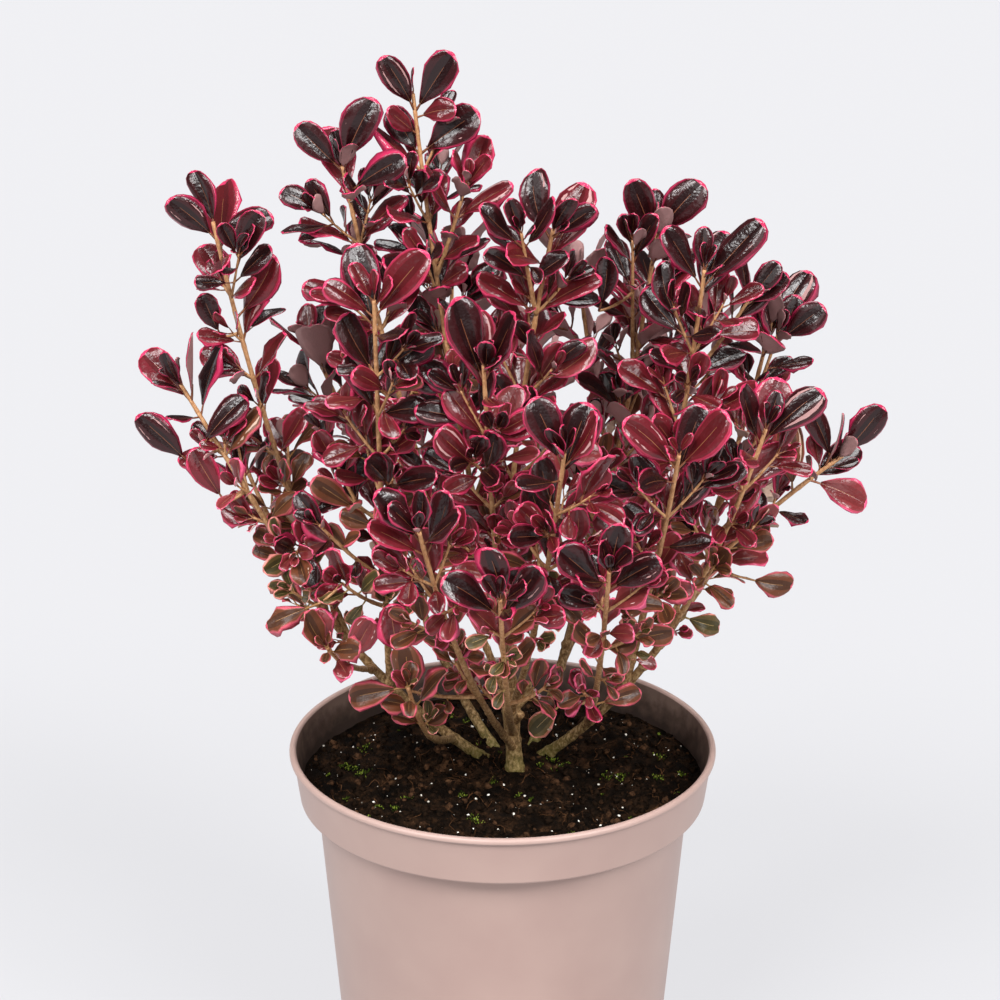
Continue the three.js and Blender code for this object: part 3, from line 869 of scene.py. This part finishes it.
def in_own_space(points, own):
    """Whether points are near enough to their own shoot, over the soil and clear of the lip."""
    reach = np.hypot(points[:, 0], points[:, 1])
    low = points[:, 2] < POT_HEIGHT + POT_CLEARANCE
    if (low & (reach > LIP_INNER_RADIUS - POT_CLEARANCE)).any():
        return False
    if (points[:, 2] < SOIL_Z + POT_CLEARANCE).any():
        return False
    distances = shoot_distances(points)
    return bool((distances[:, own] < distances.min(1) + SPACE_OVERLAP).all())


# Every place where two leaves stand: its point, the wood's heading, the turn of the pair, its
# angle, its size, its age from 0 to 1, the number of the shoot whose space it is in, its spray,
# which has tints in common, and its rank, as the low ones get their place first.
sites = []
young_wood = Joined()


def over_underside(point):
    """The height over the crown's underside."""
    reach = math.hypot(point[0] - BOWL_X, point[1] - BOWL_Y)
    return point[2] - SOIL_Z - BARE_HEIGHT - UNDERSIDE_SLOPE * reach


def age_at(point, below):
    """Leaves age down the shoot and towards the crown's underside."""
    low = min(1, max(0, 1 - over_underside(point) / OLD_DEPTH))
    return 0.7 * low + 0.42 * min(1, below / OLD_LENGTH)


def vigour_at(point):
    """Leaves are smaller near the crown's underside, where they grew in shade."""
    share = min(1, max(0, over_underside(point) / VIGOROUS_HEIGHT))
    return SHADED_VIGOUR + (1 - SHADED_VIGOUR) * share


def open_side_at(point):
    """The level way to the light from the crown's middle line, none on the line itself."""
    x = point[0]
    away = np.array([x - min(MIDDLE_REACH, max(-MIDDLE_REACH, x)), point[1] - MIDDLE_Y, 0])
    return away / max(OPEN_REACH, np.linalg.norm(away))


def bare_at(point, own, depth=0):
    """Whether the wood is bare of leaves here, at a depth under the crown."""
    return over_underside(point) < -depth and leaders[own]["name"] not in LOW_SHOOTS


def add_sites(curve, length, pairs, scale, turn, own, spray, rank, below):
    """Crossed pairs of leaves along a twig. On all but a tuft, the end pair is a bud."""
    for j, (share, angle, size) in enumerate(pairs):
        point = point_at(curve, share)
        sites.append({
            "point": point, "axis": heading_at(curve, share), "turn": turn + j * math.pi / 2,
            "angle": angle, "size": size * scale * vigour_at(point), "own": own, "spray": spray,
            "rank": rank, "age": age_at(point, below), "bud": share > 0.99 and length > 10,
        })


def leaning(axis, turn, lean):
    """The direction that leans so many radians from a heading, to the side of the turn."""
    return axis * math.cos(lean) + spun(across_of(axis), axis, turn) * math.sin(lean)


def lay_twig(curve, radius, taper, youth, sides, roughness, scars):
    """Adds the wood of a twig, which gets thinner and younger to its end."""
    lay_wood(
        young_wood, curve, (0, 1), lambda t: radius - taper * t, (youth, 1),
        sides=sides, pace=1.6, roughness=roughness, scars=scars,
    )


def add_twig(node, axis, turn, own, k, radius, below):
    """A side twig that bows up, shorter where there is less space, with crossed pairs of leaves."""
    seed = own + 1
    spray = seed + 0.37 * k
    lean = math.radians(TWIG_ANGLE + 14 * (chance(seed, k, 5) - 0.5))
    direction = leaning(axis, turn, lean)
    for scale in (1, 0.8, 0.6):
        reach = TWIG_LENGTH * scale * (0.85 + 0.4 * chance(seed, k, 11))
        end = node + direction * reach + np.array([0, 0, 0.14 * reach])
        curve = np.array([node, node + direction * reach * 0.5, end])
        probes = point_at(curve, [0.5, 0.75, 1])
        if in_own_space(probes, own) and wood_lines.clearance(probes) > TWIG_MARGIN:
            lay_twig(
                curve, 0.72 * radius, 0.3 * radius, youth=0.7, sides=7, roughness=0.05, scars=8
            )
            wood_lines.add(curve, 0.1, radius * 0.6, 2)
            size = 0.8 + 0.2 * scale
            first_turn = chance(seed, k, 6) * math.pi
            rank = 2 + below / 100
            add_sites(curve, reach, TWIG_PAIRS, size, first_turn, own, spray, rank, below)
            return True
    return False


def add_tuft(node, axis, turn, own, k, below):
    """A very short side shoot in the axil, with four small leaves."""
    reach = leaning(axis, turn, TUFT_LEAN) * TUFT_LENGTH
    curve = np.array([node, node + reach / 2, node + reach])
    lay_twig(curve, 0.6, 0.2, youth=0.8, sides=6, roughness=0.03, scars=20)
    spray = own + 1 + 0.37 * k
    add_sites(curve, TUFT_LENGTH, TUFT_PAIRS, 1, turn, own, spray, 6 + below / 100, below)


def shoot_nodes(seed, reach, opening):
    """The nodes of a shoot from its tip down: how far below it, and the leaves' angle and size."""
    nodes = [(below, angle * opening, size) for below, angle, size in TIP_PAIRS]
    below = TIP_PAIRS[-1][0]
    while below < reach:
        k = len(nodes)
        below += NODE_SPACING * (1 + 0.25 * (chance(seed, k, 3) - 0.5))
        angle = NODE_ANGLE + 14 * (chance(seed, k, 4) - 0.5)
        nodes.append((below, angle, 1 - (1 - FOOT_LEAF_SIZE) * below / reach))
    return nodes


def turn_to_light(node, axis):
    """The turn of a pair of leaves that stand square to the light."""
    square = np.cross(axis, open_side_at(node) + (0, -0.01, 0))
    flat = across_of(axis)
    return math.atan2(square.dot(np.cross(axis, flat)), square.dot(flat))


for own, leader in enumerate(leaders):
    name, curve, start, length = (leader[key] for key in ("name", "curve", "start", "length"))
    seed = own + 1

    def leader_radius(t, start=start):
        share = (t - start) / (1 - start)
        return LEADER_RADIUS * (1 - share) + TIP_RADIUS * share

    lay_wood(
        young_wood, curve, (start - 0.01, 1), leader_radius, (0.45, 1),
        sides=10, pace=1.3, roughness=0.06,
    )
    share_kept = SPARSE_SHOOTS.get(name, 1)
    reach = length * (1 - start) - 3
    nodes = shoot_nodes(seed, reach, TIP_OPENING.get(name, 1))
    for k, (below, angle, size) in enumerate(nodes):
        if below > reach or k in PLACED_PAIRS.get(name, ()):
            continue
        lower = k >= len(TIP_PAIRS)
        t = 1 - below / length
        node, axis = point_at(curve, t), heading_at(curve, t)
        if bare_at(node, own):
            continue
        quarter = math.pi / 2 * (k + (0.7 if lower else 0.35) * (chance(seed, k, 2) - 0.5))
        turn = turn_to_light(node, axis) + TIP_TURN_SPREAD * (chance(seed, 0, 1) - 0.5) + quarter
        vigour = vigour_at(node)
        if not lower:
            vigour = max(vigour, LOW_TIP_VIGOUR)
        if name in SPARSE_SHOOTS:
            vigour = max(vigour, SPARSE_VIGOUR)
        rank = below / 100 + int(lower)
        age = age_at(node, below)
        sites.append({
            "point": node, "axis": unit(axis + UP * (NODE_RISE if lower else TIP_RISE)),
            "turn": turn, "angle": angle, "size": size * vigour, "own": own,
            "spray": seed + 0.11 * (k // 3), "rank": rank, "age": age, "bud": k == 0,
        })
        if not lower:
            continue
        tufts = (1.1 - 0.9 * age) * min(1, 0.4 + share_kept)
        for side, likely in ((0, FIRST_TWIG), (math.pi, SECOND_TWIG)):
            number = k + side / 6
            at_twig = turn + side
            wanted = likely * ((1.3 - age) * share_kept)
            grown = below > TWIGS_BELOW and chance(seed, number, 8) < wanted and add_twig(
                node, axis, at_twig, own, number, leader_radius(t), below
            )
            if not grown and chance(seed, number, 9) < tufts:
                add_tuft(node, axis, at_twig, own, number, below)

# The stems themselves bear twigs and tufts from before half-way out, and one only half as many.
# They are as old as those 100 mm below a tip.
STEM_LEAVES_FROM = 0.42
STEM_NODE_SPACING = NODE_SPACING * 0.62
STEM_LEAF_DEPTH = 8
STEM_SHARE = {"stem_right": 0.5}
STEM_BELOW = 100
for name in ("stem_left", "stem_right", "stem_back_left", "stem_back_right"):
    curve = curves[name]
    length = length_of(curve)
    seed = 40 + list(STEMS).index(name)
    for k, along in enumerate(np.arange(STEM_LEAVES_FROM * length, length, STEM_NODE_SPACING)):
        node, axis = point_at(curve, along / length), heading_at(curve, along / length)
        own = int(shoot_distances(node[None]).argmin())
        if bare_at(node, own, STEM_LEAF_DEPTH) or chance(seed, k, 10) > STEM_SHARE.get(name, 1):
            continue
        for side in (0, math.pi):
            turn = k * math.pi / 2 + side + chance(seed, k, side)
            number = seed + k + side / 6
            grown = chance(seed, number, 8) < FIRST_TWIG and add_twig(
                node, axis, turn, own, number, 1.1, STEM_BELOW
            )
            if not grown:
                add_tuft(node, axis, turn, own, number, STEM_BELOW)

# Long side twigs, which carry small rosettes into the gaps between the shoots: the shoot, how far
# up it each starts, and where it ends. Those that end high up bear young leaves.
HIGH_LEAVES = 300
LONG_TWIGS = [
    ("left_front", 0.34, (-70, -22, 252)),
    ("left_front", 0.26, (-61, -32, 232)),
    ("left_high", 0.3, (-80, -12, 236)),
    ("left_front", 0.5, (-63, -8, 262)),
    ("left_front", 0.42, (-69, -8, 284)),
    ("right_high", 0.72, (106, 18, 315)),
    ("right_rear", 0.7, (50, 28, 350)),
    ("centre", 0.82, (7, -4, 362)),
    ("top_peak", 0.72, (-14, 22, 374)),
    ("right_peak", 0.78, (96, 4, 338)),
    ("front_left", 0.3, (-18, -30, 198)),
    ("front_left", 0.34, (-36, -42, 192)),
    ("front_low", 0.3, (-10, -24, 187)),
    ("front_low", 0.36, (16, -44, 194)),
    ("front_low_right", 0.3, (31, -40, 190)),
]
for number, (name, share, end) in enumerate(LONG_TWIGS):
    own = list(SHOOTS).index(name)
    root = point_at(leaders[own]["curve"], share)
    end = np.array(end, float)
    curve = np.array([root, (root + end) / 2 + (0, 0, -3), end])
    lay_twig(curve, 0.95, 0.4, youth=0.6, sides=7, roughness=0.04, scars=10)
    wood_lines.add(curve, 0.1, 0.8, 4)
    turn = chance(number, 4, 4) * 3
    below = 10 if end[2] > HIGH_LEAVES else 60
    add_sites(curve, length_of(curve), LONG_TWIG_PAIRS, 1, turn, own, number + 70.5, 0.5, below)

LEAF_LENGTH = 24.5
PETIOLE_LENGTH = 4.8
PETIOLE_REACH = 7
# Single leaves that stand or hang apart: foot, tip, age and tint. Each stands on the nearest wood,
# on a twig of its own where that is further away than a petiole could reach.
SINGLE_LEAVES = [
    ((-34, 30, 400), (-43, 21, 424), 0.1, "black_maroon"),
    ((-34, 30, 400), (-20, 21, 423), 0.1, "black_maroon"),
    ((-32, 28, 398), (-18, 20, 406), 0.4, "maroon"),
    ((-30, 29, 384), (-8, 24, 404), 0.1, "black_maroon"),
    ((-37, 31, 382), (-43, 35, 400), 0.2, "black_maroon"),
    ((-37, 28, 391), (-43, 22, 402), 0.2, "maroon"),
    ((-65, 24, 377), (-78, 22, 396), 0.1, "black_maroon"),
    ((-59, 23, 381), (-51, 22, 406), 0.1, "black_maroon"),
    ((-58, 24, 370), (-40, 18, 386), 0.2, "black_maroon"),
    ((-111, 17, 357), (-114, 20, 382), 0.1, "black_maroon"),
    ((-112, 14, 353), (-126, 13, 373), 0.2, "black_maroon"),
    ((-107, 13, 354), (-89, 12, 369), 0.2, "black_maroon"),
    ((57, 38, 346), (50, 37, 370), 0.1, "black_maroon"),
    ((62, 38, 348), (74, 35, 371), 0.1, "black_maroon"),
    ((17, 7, 357), (4, 9, 381), 0.1, "black_maroon"),
    ((22, 4, 356), (35, 1, 373), 0.15, "black_maroon"),
    ((-99, 12, 324), (-83, 12, 346), 0.3, "maroon"),
    ((-108, 12, 316), (-116, 12, 335), 0.3, "black_maroon"),
    ((-63, 20, 373), (-78, 20, 397), 0.1, "black_maroon"),
    ((-121, 0, 269), (-138, 0, 288), 0.2, "black_maroon"),
    ((-58, -30, 196), (-48, -34, 221), 0.7, "wine"),
    ((-39, -38, 202), (-44, -42, 227), 0.6, "maroon"),
    ((-116, -6, 277), (-99, -6, 301), 0.3, "black_maroon"),
    ((-107, -4, 254), (-120, -4, 275), 0.35, "maroon"),
    ((-106, -2, 255), (-102, -2, 279), 0.3, "black_maroon"),
    ((-60, -12, 271), (-72, -12, 289), 0.4, "maroon"),
    ((-58, -16, 252), (-73, -16, 268), 0.5, "bronze"),
    ((-70, -38, 226), (-95, -38, 216), 0.8, "bronze"),
    ((-41, -50, 196), (-64, -50, 192), 0.7, "bronze"),
    ((23, -20, 176), (8, -26, 164), 0.9, "olive"),
    ((38, -10, 176), (58, -10, 178), 0.7, "bronze"),
    ((43, -10, 194), (62, -10, 190), 0.8, "wine"),
    ((73, -6, 204), (89, -6, 200), 0.8, "olive"),
    ((95, 0, 221), (115, 0, 215), 0.6, "bronze"),
    ((115, -3, 254), (110, -7, 286), 0.5, "bronze"),
    ((126, -1, 261), (119, 2, 281), 0.3, "maroon"),
    ((120, -1, 260), (142, -6, 256), 0.5, "wine"),
    ((37, 20, 324), (43, 20, 344), 0.2, "black_maroon"),
    ((102, 18, 312), (124, 18, 327), 0.2, "black_maroon"),
    ((89, 4, 333), (104, 4, 348), 0.2, "black_maroon"),
    ((131, -1, 271), (145, -2, 291), 0.2, "black_maroon"),
    ((128, -1, 268), (120, -2, 290), 0.2, "black_maroon"),
]
for number, (foot, tip, age, tint) in enumerate(SINGLE_LEAVES):
    foot, tip = np.array(foot, float), np.array(tip, float)
    root = wood_lines.nearest(foot)
    away = np.linalg.norm(foot - root)
    if away > PETIOLE_REACH:
        curve = np.array([root, (root + foot) / 2 - UP * 0.12 * away, foot])
        lay_twig(curve, 0.7, 0.25, youth=0.6, sides=6, roughness=0.03, scars=8)
    else:
        foot = root
    reach = np.linalg.norm(tip - foot)
    sites.append({
        "point": foot, "axis": UP, "aim": (tip - foot) / reach,
        "size": reach / (LEAF_LENGTH + PETIOLE_LENGTH), "age": age, "tint": tint,
        "own": int(shoot_distances(foot[None]).argmin()), "spray": number, "rank": -1,
    })

young_bark = wood_material("smooth young bark", 0.55)
young_shoots = young_wood.build("young_shoots", [young_bark], "youth")
foliage_nodes = [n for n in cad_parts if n.startswith("foliage_")]
hand_over(young_shoots, foliage_nodes)

# Leaves
# Leathery evergreen leaves, glossy above and matt below: blunt and widest past the middle, each
# half domed between the sunken midrib and a margin that rolls back. Each leaf is a closed shell of
# about a hundred faces, larger than life by a tenth, as each stands for more than one.
LEAF_THICKNESS = 0.42
STATIONS = np.array([0, 0.13, 0.27, 0.43, 0.59, 0.73, 0.86, 0.95, 1])
OVAL = np.array([0.12, 0.42, 0.74, 0.95, 1, 0.95, 0.77, 0.5, 0.14])
EGG = np.array([0.1, 0.31, 0.58, 0.83, 0.98, 1, 0.86, 0.57, 0.17])
ROWS = len(STATIONS)
COLUMNS = 10
RIB_SHARE = 0.024
PATCH_CHANCE = 0.1
BACK_COLUMNS = np.array([-0.62, 0, 0.62])
BLADE, FLANK, BLUSH, MARGIN, RIB, BACK = range(6)


def leaf_faces():
    """The faces of a leaf and their finishes: upper side, back, two end caps and the petiole.

    The petiole's ends are inside the wood and inside the leaf, and stay open.
    """
    faces, slots = [], []
    across = [MARGIN, BLUSH, FLANK, BLADE, RIB, BLADE, FLANK, BLUSH, MARGIN]
    under = ROWS * COLUMNS
    for i in range(ROWS - 1):
        for j, slot in enumerate(across):
            corner = i * COLUMNS + j
            faces.append([corner, corner + 1, corner + COLUMNS + 1, corner + COLUMNS])
            if i == ROWS - 2:
                slot = MARGIN
            elif slot == RIB and i > 4:
                slot = BLADE
            slots.append(slot)
        near, far = (
            [k * COLUMNS, *range(under + 3 * k, under + 3 * k + 3), (k + 1) * COLUMNS - 1]
            for k in (i, i + 1)
        )
        for j in range(4):
            faces.append([near[j], far[j], far[j + 1], near[j + 1]])
            slots.append(BACK)
    stalk = under + 3 * ROWS
    faces.append([*reversed(range(COLUMNS)), *range(under, under + 3)])
    faces.append([*range(under - COLUMNS, under), *reversed(range(stalk - 3, stalk))])
    petiole = tube_faces(3, 4)[:-2]
    faces += [[stalk + point for point in face] for face in petiole]
    return faces, slots + [RIB, MARGIN] + [RIB] * len(petiole)


LEAF_FACES, LEAF_SLOTS = leaf_faces()
# A leaf is tested against the wood and the other leaves on a coarse grid of its upper side.
TEST_ROWS = [0, 2, 4, 6, 8]
TEST_COLUMNS = [0, 2, 4, 7, 9]
TEST_FACES = [
    [5 * i + j, 5 * i + j + 1, 5 * i + j + 6, 5 * i + j + 5] for i in range(4) for j in range(4)
]


def leaf_points(node, direction, normal, size, age, rng):
    """The points of one leaf that stands on a node and reaches in a direction.

    Old leaves are shorter and broader, hang, twist and curl more, and have wider margins.
    """
    length = LEAF_LENGTH * size * rng.uniform(0.88, 1.1) * (1 - 0.3 * max(0, age - 0.3))
    half_width = length * rng.uniform(0.25, 0.31) * (1 + 0.2 * age)
    shape = rng.uniform()
    outline = OVAL * (1 - shape) + EGG * shape
    petiole = PETIOLE_LENGTH * (0.35 + 0.65 * size) * rng.uniform(0.8, 1.2)
    bend = math.radians(rng.uniform(-12, 20) + age * rng.uniform(0, 45))
    fold = rng.uniform(0.35, 0.8) - 0.2 * age * rng.uniform()
    roll = fold * rng.uniform(0.4, 1.25) + 0.06
    sway = math.radians(rng.normal(0, 13))
    twist = math.radians(rng.normal(0, 9 + 14 * age))
    wave = (0.19 + 0.4 * age) * rng.uniform(0.3, 1)
    wave_turns, wave_phase = rng.uniform(0.9, 1.7), rng.uniform(0, 2 * math.pi, 2)
    lopsided = rng.uniform(-0.07, 0.07)
    margin = rng.uniform(0.045, 0.09) + 0.7 * max(0, age - 0.4) * rng.uniform(0, 1) ** 2
    blush, core = rng.uniform(0.05, 0.13), rng.uniform(0.3, 0.5)
    ragged = np.clip(1 + rng.normal(0, 0.04 + 0.05 * age, (ROWS, 2)), 1 - 0.4 * margin, 1.12)

    side = np.cross(direction, normal)
    base = node + direction * petiole
    angles = bend * STATIONS**1.6
    steps = np.diff(STATIONS, prepend=0) * length
    swung = (sway * STATIONS)[:, None]
    forward = direction * np.cos(angles)[:, None] - normal * np.sin(angles)[:, None]
    forward = forward * np.cos(swung) + side * np.sin(swung)
    upward = normal * np.cos(angles)[:, None] + direction * np.sin(angles)[:, None]
    centre = base + np.cumsum(forward * steps[:, None], axis=0)
    turns = (twist * STATIONS)[:, None]
    sideways = side * np.cos(turns) + upward * np.sin(turns)
    upward = upward * np.cos(turns) - side * np.sin(turns)

    margins = np.array([margin, margin])
    if rng.uniform() < PATCH_CHANCE:
        margins[rng.integers(2)] += rng.uniform(0.15, 0.5)
    uneven = rng.uniform(-0.5, 0.5, (ROWS, 2)) * margins * (0.25 + age)
    inner = np.maximum(1 - margins - uneven, 0.52 + blush)
    rib = RIB_SHARE * (1.3 - STATIONS)
    core = np.full(ROWS, core)
    columns = np.stack([
        -ragged[:, 0], -inner[:, 0], -inner[:, 0] + blush, -core, -rib,
        rib, core, inner[:, 1] - blush, inner[:, 1], ragged[:, 1],
    ], axis=1)

    def surface(columns):
        """The leaf's surface where columns, from -1 to 1 across it, meet its stations."""
        width = outline[:, None] * half_width * np.where(columns < 0, 1 + lopsided, 1 - lopsided)
        spread = np.abs(columns)
        ripple = wave * spread**2 * np.sin(
            2 * math.pi * wave_turns * STATIONS[:, None] + np.where(columns < 0, *wave_phase)
        )
        lift = width * (fold * spread - roll * spread**3 + ripple)
        return (
            centre[:, None]
            + (columns * width)[..., None] * sideways[:, None]
            + lift[..., None] * upward[:, None]
        )

    upper = surface(columns)
    back = surface(np.tile(BACK_COLUMNS, (ROWS, 1))) - LEAF_THICKNESS * upward[:, None]
    stalk_radii = np.array([0.62, 0.5, 0.34]) * (0.4 + 0.6 * size)
    sag = node + direction * petiole * 0.6 - normal * 0.25
    stalk_centres = np.array([node, sag, centre[1] - upward[1] * 0.3])
    spokes = np.array([side, normal, -side, -normal])
    stalk = stalk_centres[:, None] + stalk_radii[:, None, None] * spokes
    return np.concatenate([part.reshape(-1, 3) for part in (upper, back, stalk)]), upper


# Leaf colours, dealt out by spray: blade, its flanks, the blush inside the margin, margin, midrib
# with petiole, and back.
LEAF_TINTS = {
    "black_maroon": ("#1c0607", "#2e0a0d", "#641429", "#b0284f", "#6e402a", "#a07a78"),
    "maroon": ("#4e1216", "#601820", "#96233c", "#c8365e", "#825036", "#b68c8a"),
    "wine": ("#6a2627", "#782d2f", "#b23c54", "#e0587e", "#965c40", "#cca6a4"),
    "bronze": ("#46291a", "#633823", "#a04a46", "#cc5668", "#966c42", "#bea290"),
    "olive": ("#3e361c", "#584828", "#a4664e", "#dc8880", "#a68a56", "#c8b49e"),
}
# The share of each tint, added up, among the leaves over an age: the oldest, then the older ones.
AGED_TINTS = [
    (0.62, [(0.4, "olive"), (0.8, "bronze"), (0.9, "wine"), (1, "maroon")]),
    (0.34, [(0.22, "maroon"), (0.54, "wine"), (0.93, "bronze"), (1, "black_maroon")]),
]


def tint_of(age, height, at_tip, spray, leaf_chance):
    """Young leaves are maroon, and nearly black at the tips and high up."""
    high = 1 if at_tip else min(1, max(0, (height - HIGH_LEAVES) / 60))
    shares = [(0.46 + 0.26 * high, "black_maroon"), (0.86 + 0.12 * high, "maroon"), (1, "wine")]
    shares = next((aged for least, aged in AGED_TINTS if age > least), shares)
    roll = chance(spray, 3, 5) * 0.8 + 0.2 * leaf_chance
    return next(tint for limit, tint in shares if roll < limit)


leaf_groups = {tint: Joined() for tint in LEAF_TINTS}
placed_centres = []
placed_trees = []
# A leaf leans out further on the open side, where it is also smaller, and less on the far one.
# Where it would stand right before or behind its stalk it turns to one side.
NEAR_LEAN = 34
FAR_LEAN = 20
MOST_LEAN = 88
SIDESTEP = 36
NEAR_SHRINK = 0.42
# What the leaves turn their upper sides to: the open side and the sky, and the single ones also
# to the viewer's side.
SIDE_LIGHT = 0.95
SKY_LIGHT = 0.45
BUD_LIGHT = 0.6
LEAF_LIGHT = 1.3
OPEN_LIGHT = np.array([0, -0.9, 0.3])
# How much smaller, and by how many degrees wider, a leaf is tried in turn until it fits.
ATTEMPTS = [(1, 0), (0.92, -9), (0.84, 8), (0.76, -17), (0.64, 4)]
NEIGHBOURHOOD = 30


def leaf_stance(site, number, half, tilt, open_side, light, rng):
    """The way a leaf reaches, the way it faces, and its size on the open side as a share."""
    if "aim" in site:
        return site["aim"], light + OPEN_LIGHT, 1
    axis = site["axis"]
    turn = site["turn"] + half * math.pi + rng.normal(0, 0.12)
    outward = spun(across_of(axis), axis, turn)
    way = 1 if chance(number, 1, 7) < 0.5 else -1
    aside = math.radians(SIDESTEP) * abs(outward.dot(open_side)) * way
    outward = spun(across_of(axis), axis, turn + aside)
    facing = outward.dot(open_side)
    more_lean = facing * (NEAR_LEAN if facing > 0 else FAR_LEAN)
    lean = site["angle"] + tilt + rng.normal(0, 5) + more_lean
    lean = math.radians(min(MOST_LEAN, lean))
    direction = axis * math.cos(lean) + outward * math.sin(lean)
    normal = axis * math.sin(lean) - outward * math.cos(lean) + light
    return direction, normal, 1 - NEAR_SHRINK * max(0, facing)


def leaf_fits(upper, own):
    """A leaf's middle and test shape, if it keeps to its space and crosses no wood or leaf."""
    grid = upper[np.ix_(TEST_ROWS, TEST_COLUMNS)].reshape(-1, 3)
    if not in_own_space(grid, own) or wood_lines.clearance(grid[5:]) < LIMB_MARGIN:
        return None
    tree = BVHTree.FromPolygons(grid.tolist(), TEST_FACES)
    centre = grid.mean(0)
    if placed_centres:
        near = np.linalg.norm(np.array(placed_centres) - centre, axis=1) < NEIGHBOURHOOD
        if any(tree.overlap(placed_trees[i]) for i in np.flatnonzero(near)):
            return None
    return centre, tree


sites.sort(key=lambda site: site["rank"])
for number, site in enumerate(sites):
    point = site["point"]
    open_side = open_side_at(point)
    light = open_side * SIDE_LIGHT + UP * SKY_LIGHT
    light *= BUD_LIGHT if site.get("bud") else LEAF_LIGHT
    for half in range(1 if "aim" in site else 2):
        rng = np.random.default_rng([number, half])
        age = min(1, max(0, site["age"] + rng.normal(0, 0.1)))
        for shrink, tilt in ATTEMPTS:
            direction, normal, share = leaf_stance(site, number, half, tilt, open_side, light, rng)
            normal = unit(normal - direction * normal.dot(direction))
            size = site["size"] * (shrink * share)
            points, upper = leaf_points(point, direction, normal, size, age, rng)
            fit = leaf_fits(upper, site["own"])
            if fit:
                placed_centres.append(fit[0])
                placed_trees.append(fit[1])
                tint = site.get("tint") or tint_of(
                    age, point[2], site["rank"] < 1, site["spray"], rng.uniform()
                )
                leaf_groups[tint].add(points, LEAF_FACES, LEAF_SLOTS)
                break

# The upper side has a thick polished cuticle, so it mirrors the light in soft patches broken by
# the faint net of its veins, drawn at 1.6 mm so that it shows. Older leaves have lost some of
# their wax, and the back is matt with fine down: roughness, and strength of the mirror.
WHOLE_WAX = (0.24, 0.47)
WORN_WAX = {"bronze": (0.36, 0.28), "olive": (0.42, 0.22)}
DOWN = (0.6, 0.2)
for tint, colours in LEAF_TINTS.items():
    materials = []
    for part, colour in zip(("blade", "flank", "blush", "margin", "midrib", "back"), colours):
        matt = part == "back"
        roughness, mirror = DOWN if matt else WORN_WAX.get(tint, WHOLE_WAX)
        material, tree, shader = new_material(
            f"{tint} leaf {part}, {'matt' if matt else 'waxed'}",
            {
                "Base Color": linear(colour), "Roughness": roughness, "IOR": 1.5,
                "Specular IOR Level": mirror,
            },
        )
        place = add_node(tree, "TexCoord").outputs["Object"]
        swell = add_node(tree, "TexNoise", {"Vector": place, "Scale": 330, "Detail": 2})
        broad = add_node(
            tree, "Bump", {"Height": swell.outputs["Fac"], "Strength": 0.3, "Distance": 0.0009}
        )
        veins = add_node(
            tree, "TexVoronoi", {"Vector": place, "Scale": 620}, feature="DISTANCE_TO_EDGE"
        )
        relief = add_node(
            tree,
            "Bump",
            {
                "Height": veins.outputs["Distance"], "Strength": 0.2, "Distance": 0.0005,
                "Normal": broad.outputs["Normal"],
            },
        )
        tree.links.new(relief.outputs["Normal"], shader.inputs["Normal"])
        materials.append(material)
    piece = leaf_groups[tint].build(f"leaves_{tint}", materials)
    hand_over(piece, foliage_nodes)

# Floor, light and camera
# A sheet of pale paper as a floor that fills the view, four broad soft lights as from large
# diffusers, two smaller ones for the glints, and a camera with a long lens, tilted down.
bpy.ops.mesh.primitive_plane_add(size=16)
floor = bpy.context.object
floor.name = "pale_floor"
paper, tree, shader = new_material(
    "pale studio paper",
    {
        "Base Color": linear("#616162"), "Roughness": 0.9, "Specular IOR Level": 0.1,
        "Emission Color": linear("#f6f6fa"), "Emission Strength": 0.65,
    },
)
floor.data.materials.append(paper)

# Each light: its side in degrees (0 is the viewer's, + to the right), its height and its spread in
# degrees, and its strength.
SOFT_LIGHTS = [
    ("key_light", -32, 50, 24, 2.85),
    ("fill_light", 38, 46, 26, 2.1),
    ("top_light", 180, 62, 28, 1.7),
    ("front_light", 3, 24, 36, 0.5),
    ("left_accent", -58, 32, 13, 1.0),
    ("right_accent", 52, 34, 13, 1.15),
]
for name, side, height, spread, strength in SOFT_LIGHTS:
    data = bpy.data.lights.new(name, "SUN")
    data.angle = math.radians(spread)
    data.energy = strength
    light = bpy.data.objects.new(name, data)
    light.rotation_euler = (math.radians(90 - height), 0, math.radians(side))
    bpy.context.collection.objects.link(light)
world = bpy.data.worlds.new("pale studio")
world.use_nodes = True
world.node_tree.nodes["Background"].inputs["Color"].default_value = linear("#f4f4f8")
world.node_tree.nodes["Background"].inputs["Strength"].default_value = 0.14
bpy.context.scene.world = world
bpy.context.scene.view_settings.view_transform = "Standard"

# The camera stands 1.13 m before the pot and above the crown, as the ellipse of the lip shows.
LENS = 112.37
SENSOR_WIDTH = 36
CAMERA_PLACE = (-1.04, -1128.98, 686.56)
CAMERA_TILT = 69.021
camera_data = bpy.data.cameras.new("camera")
camera_data.lens = LENS
camera_data.sensor_width = SENSOR_WIDTH
camera = bpy.data.objects.new("camera", camera_data)
camera.location = [place * MM for place in CAMERA_PLACE]
camera.rotation_euler = (math.radians(CAMERA_TILT), 0, 0)
bpy.context.collection.objects.link(camera)
bpy.context.scene.camera = camera
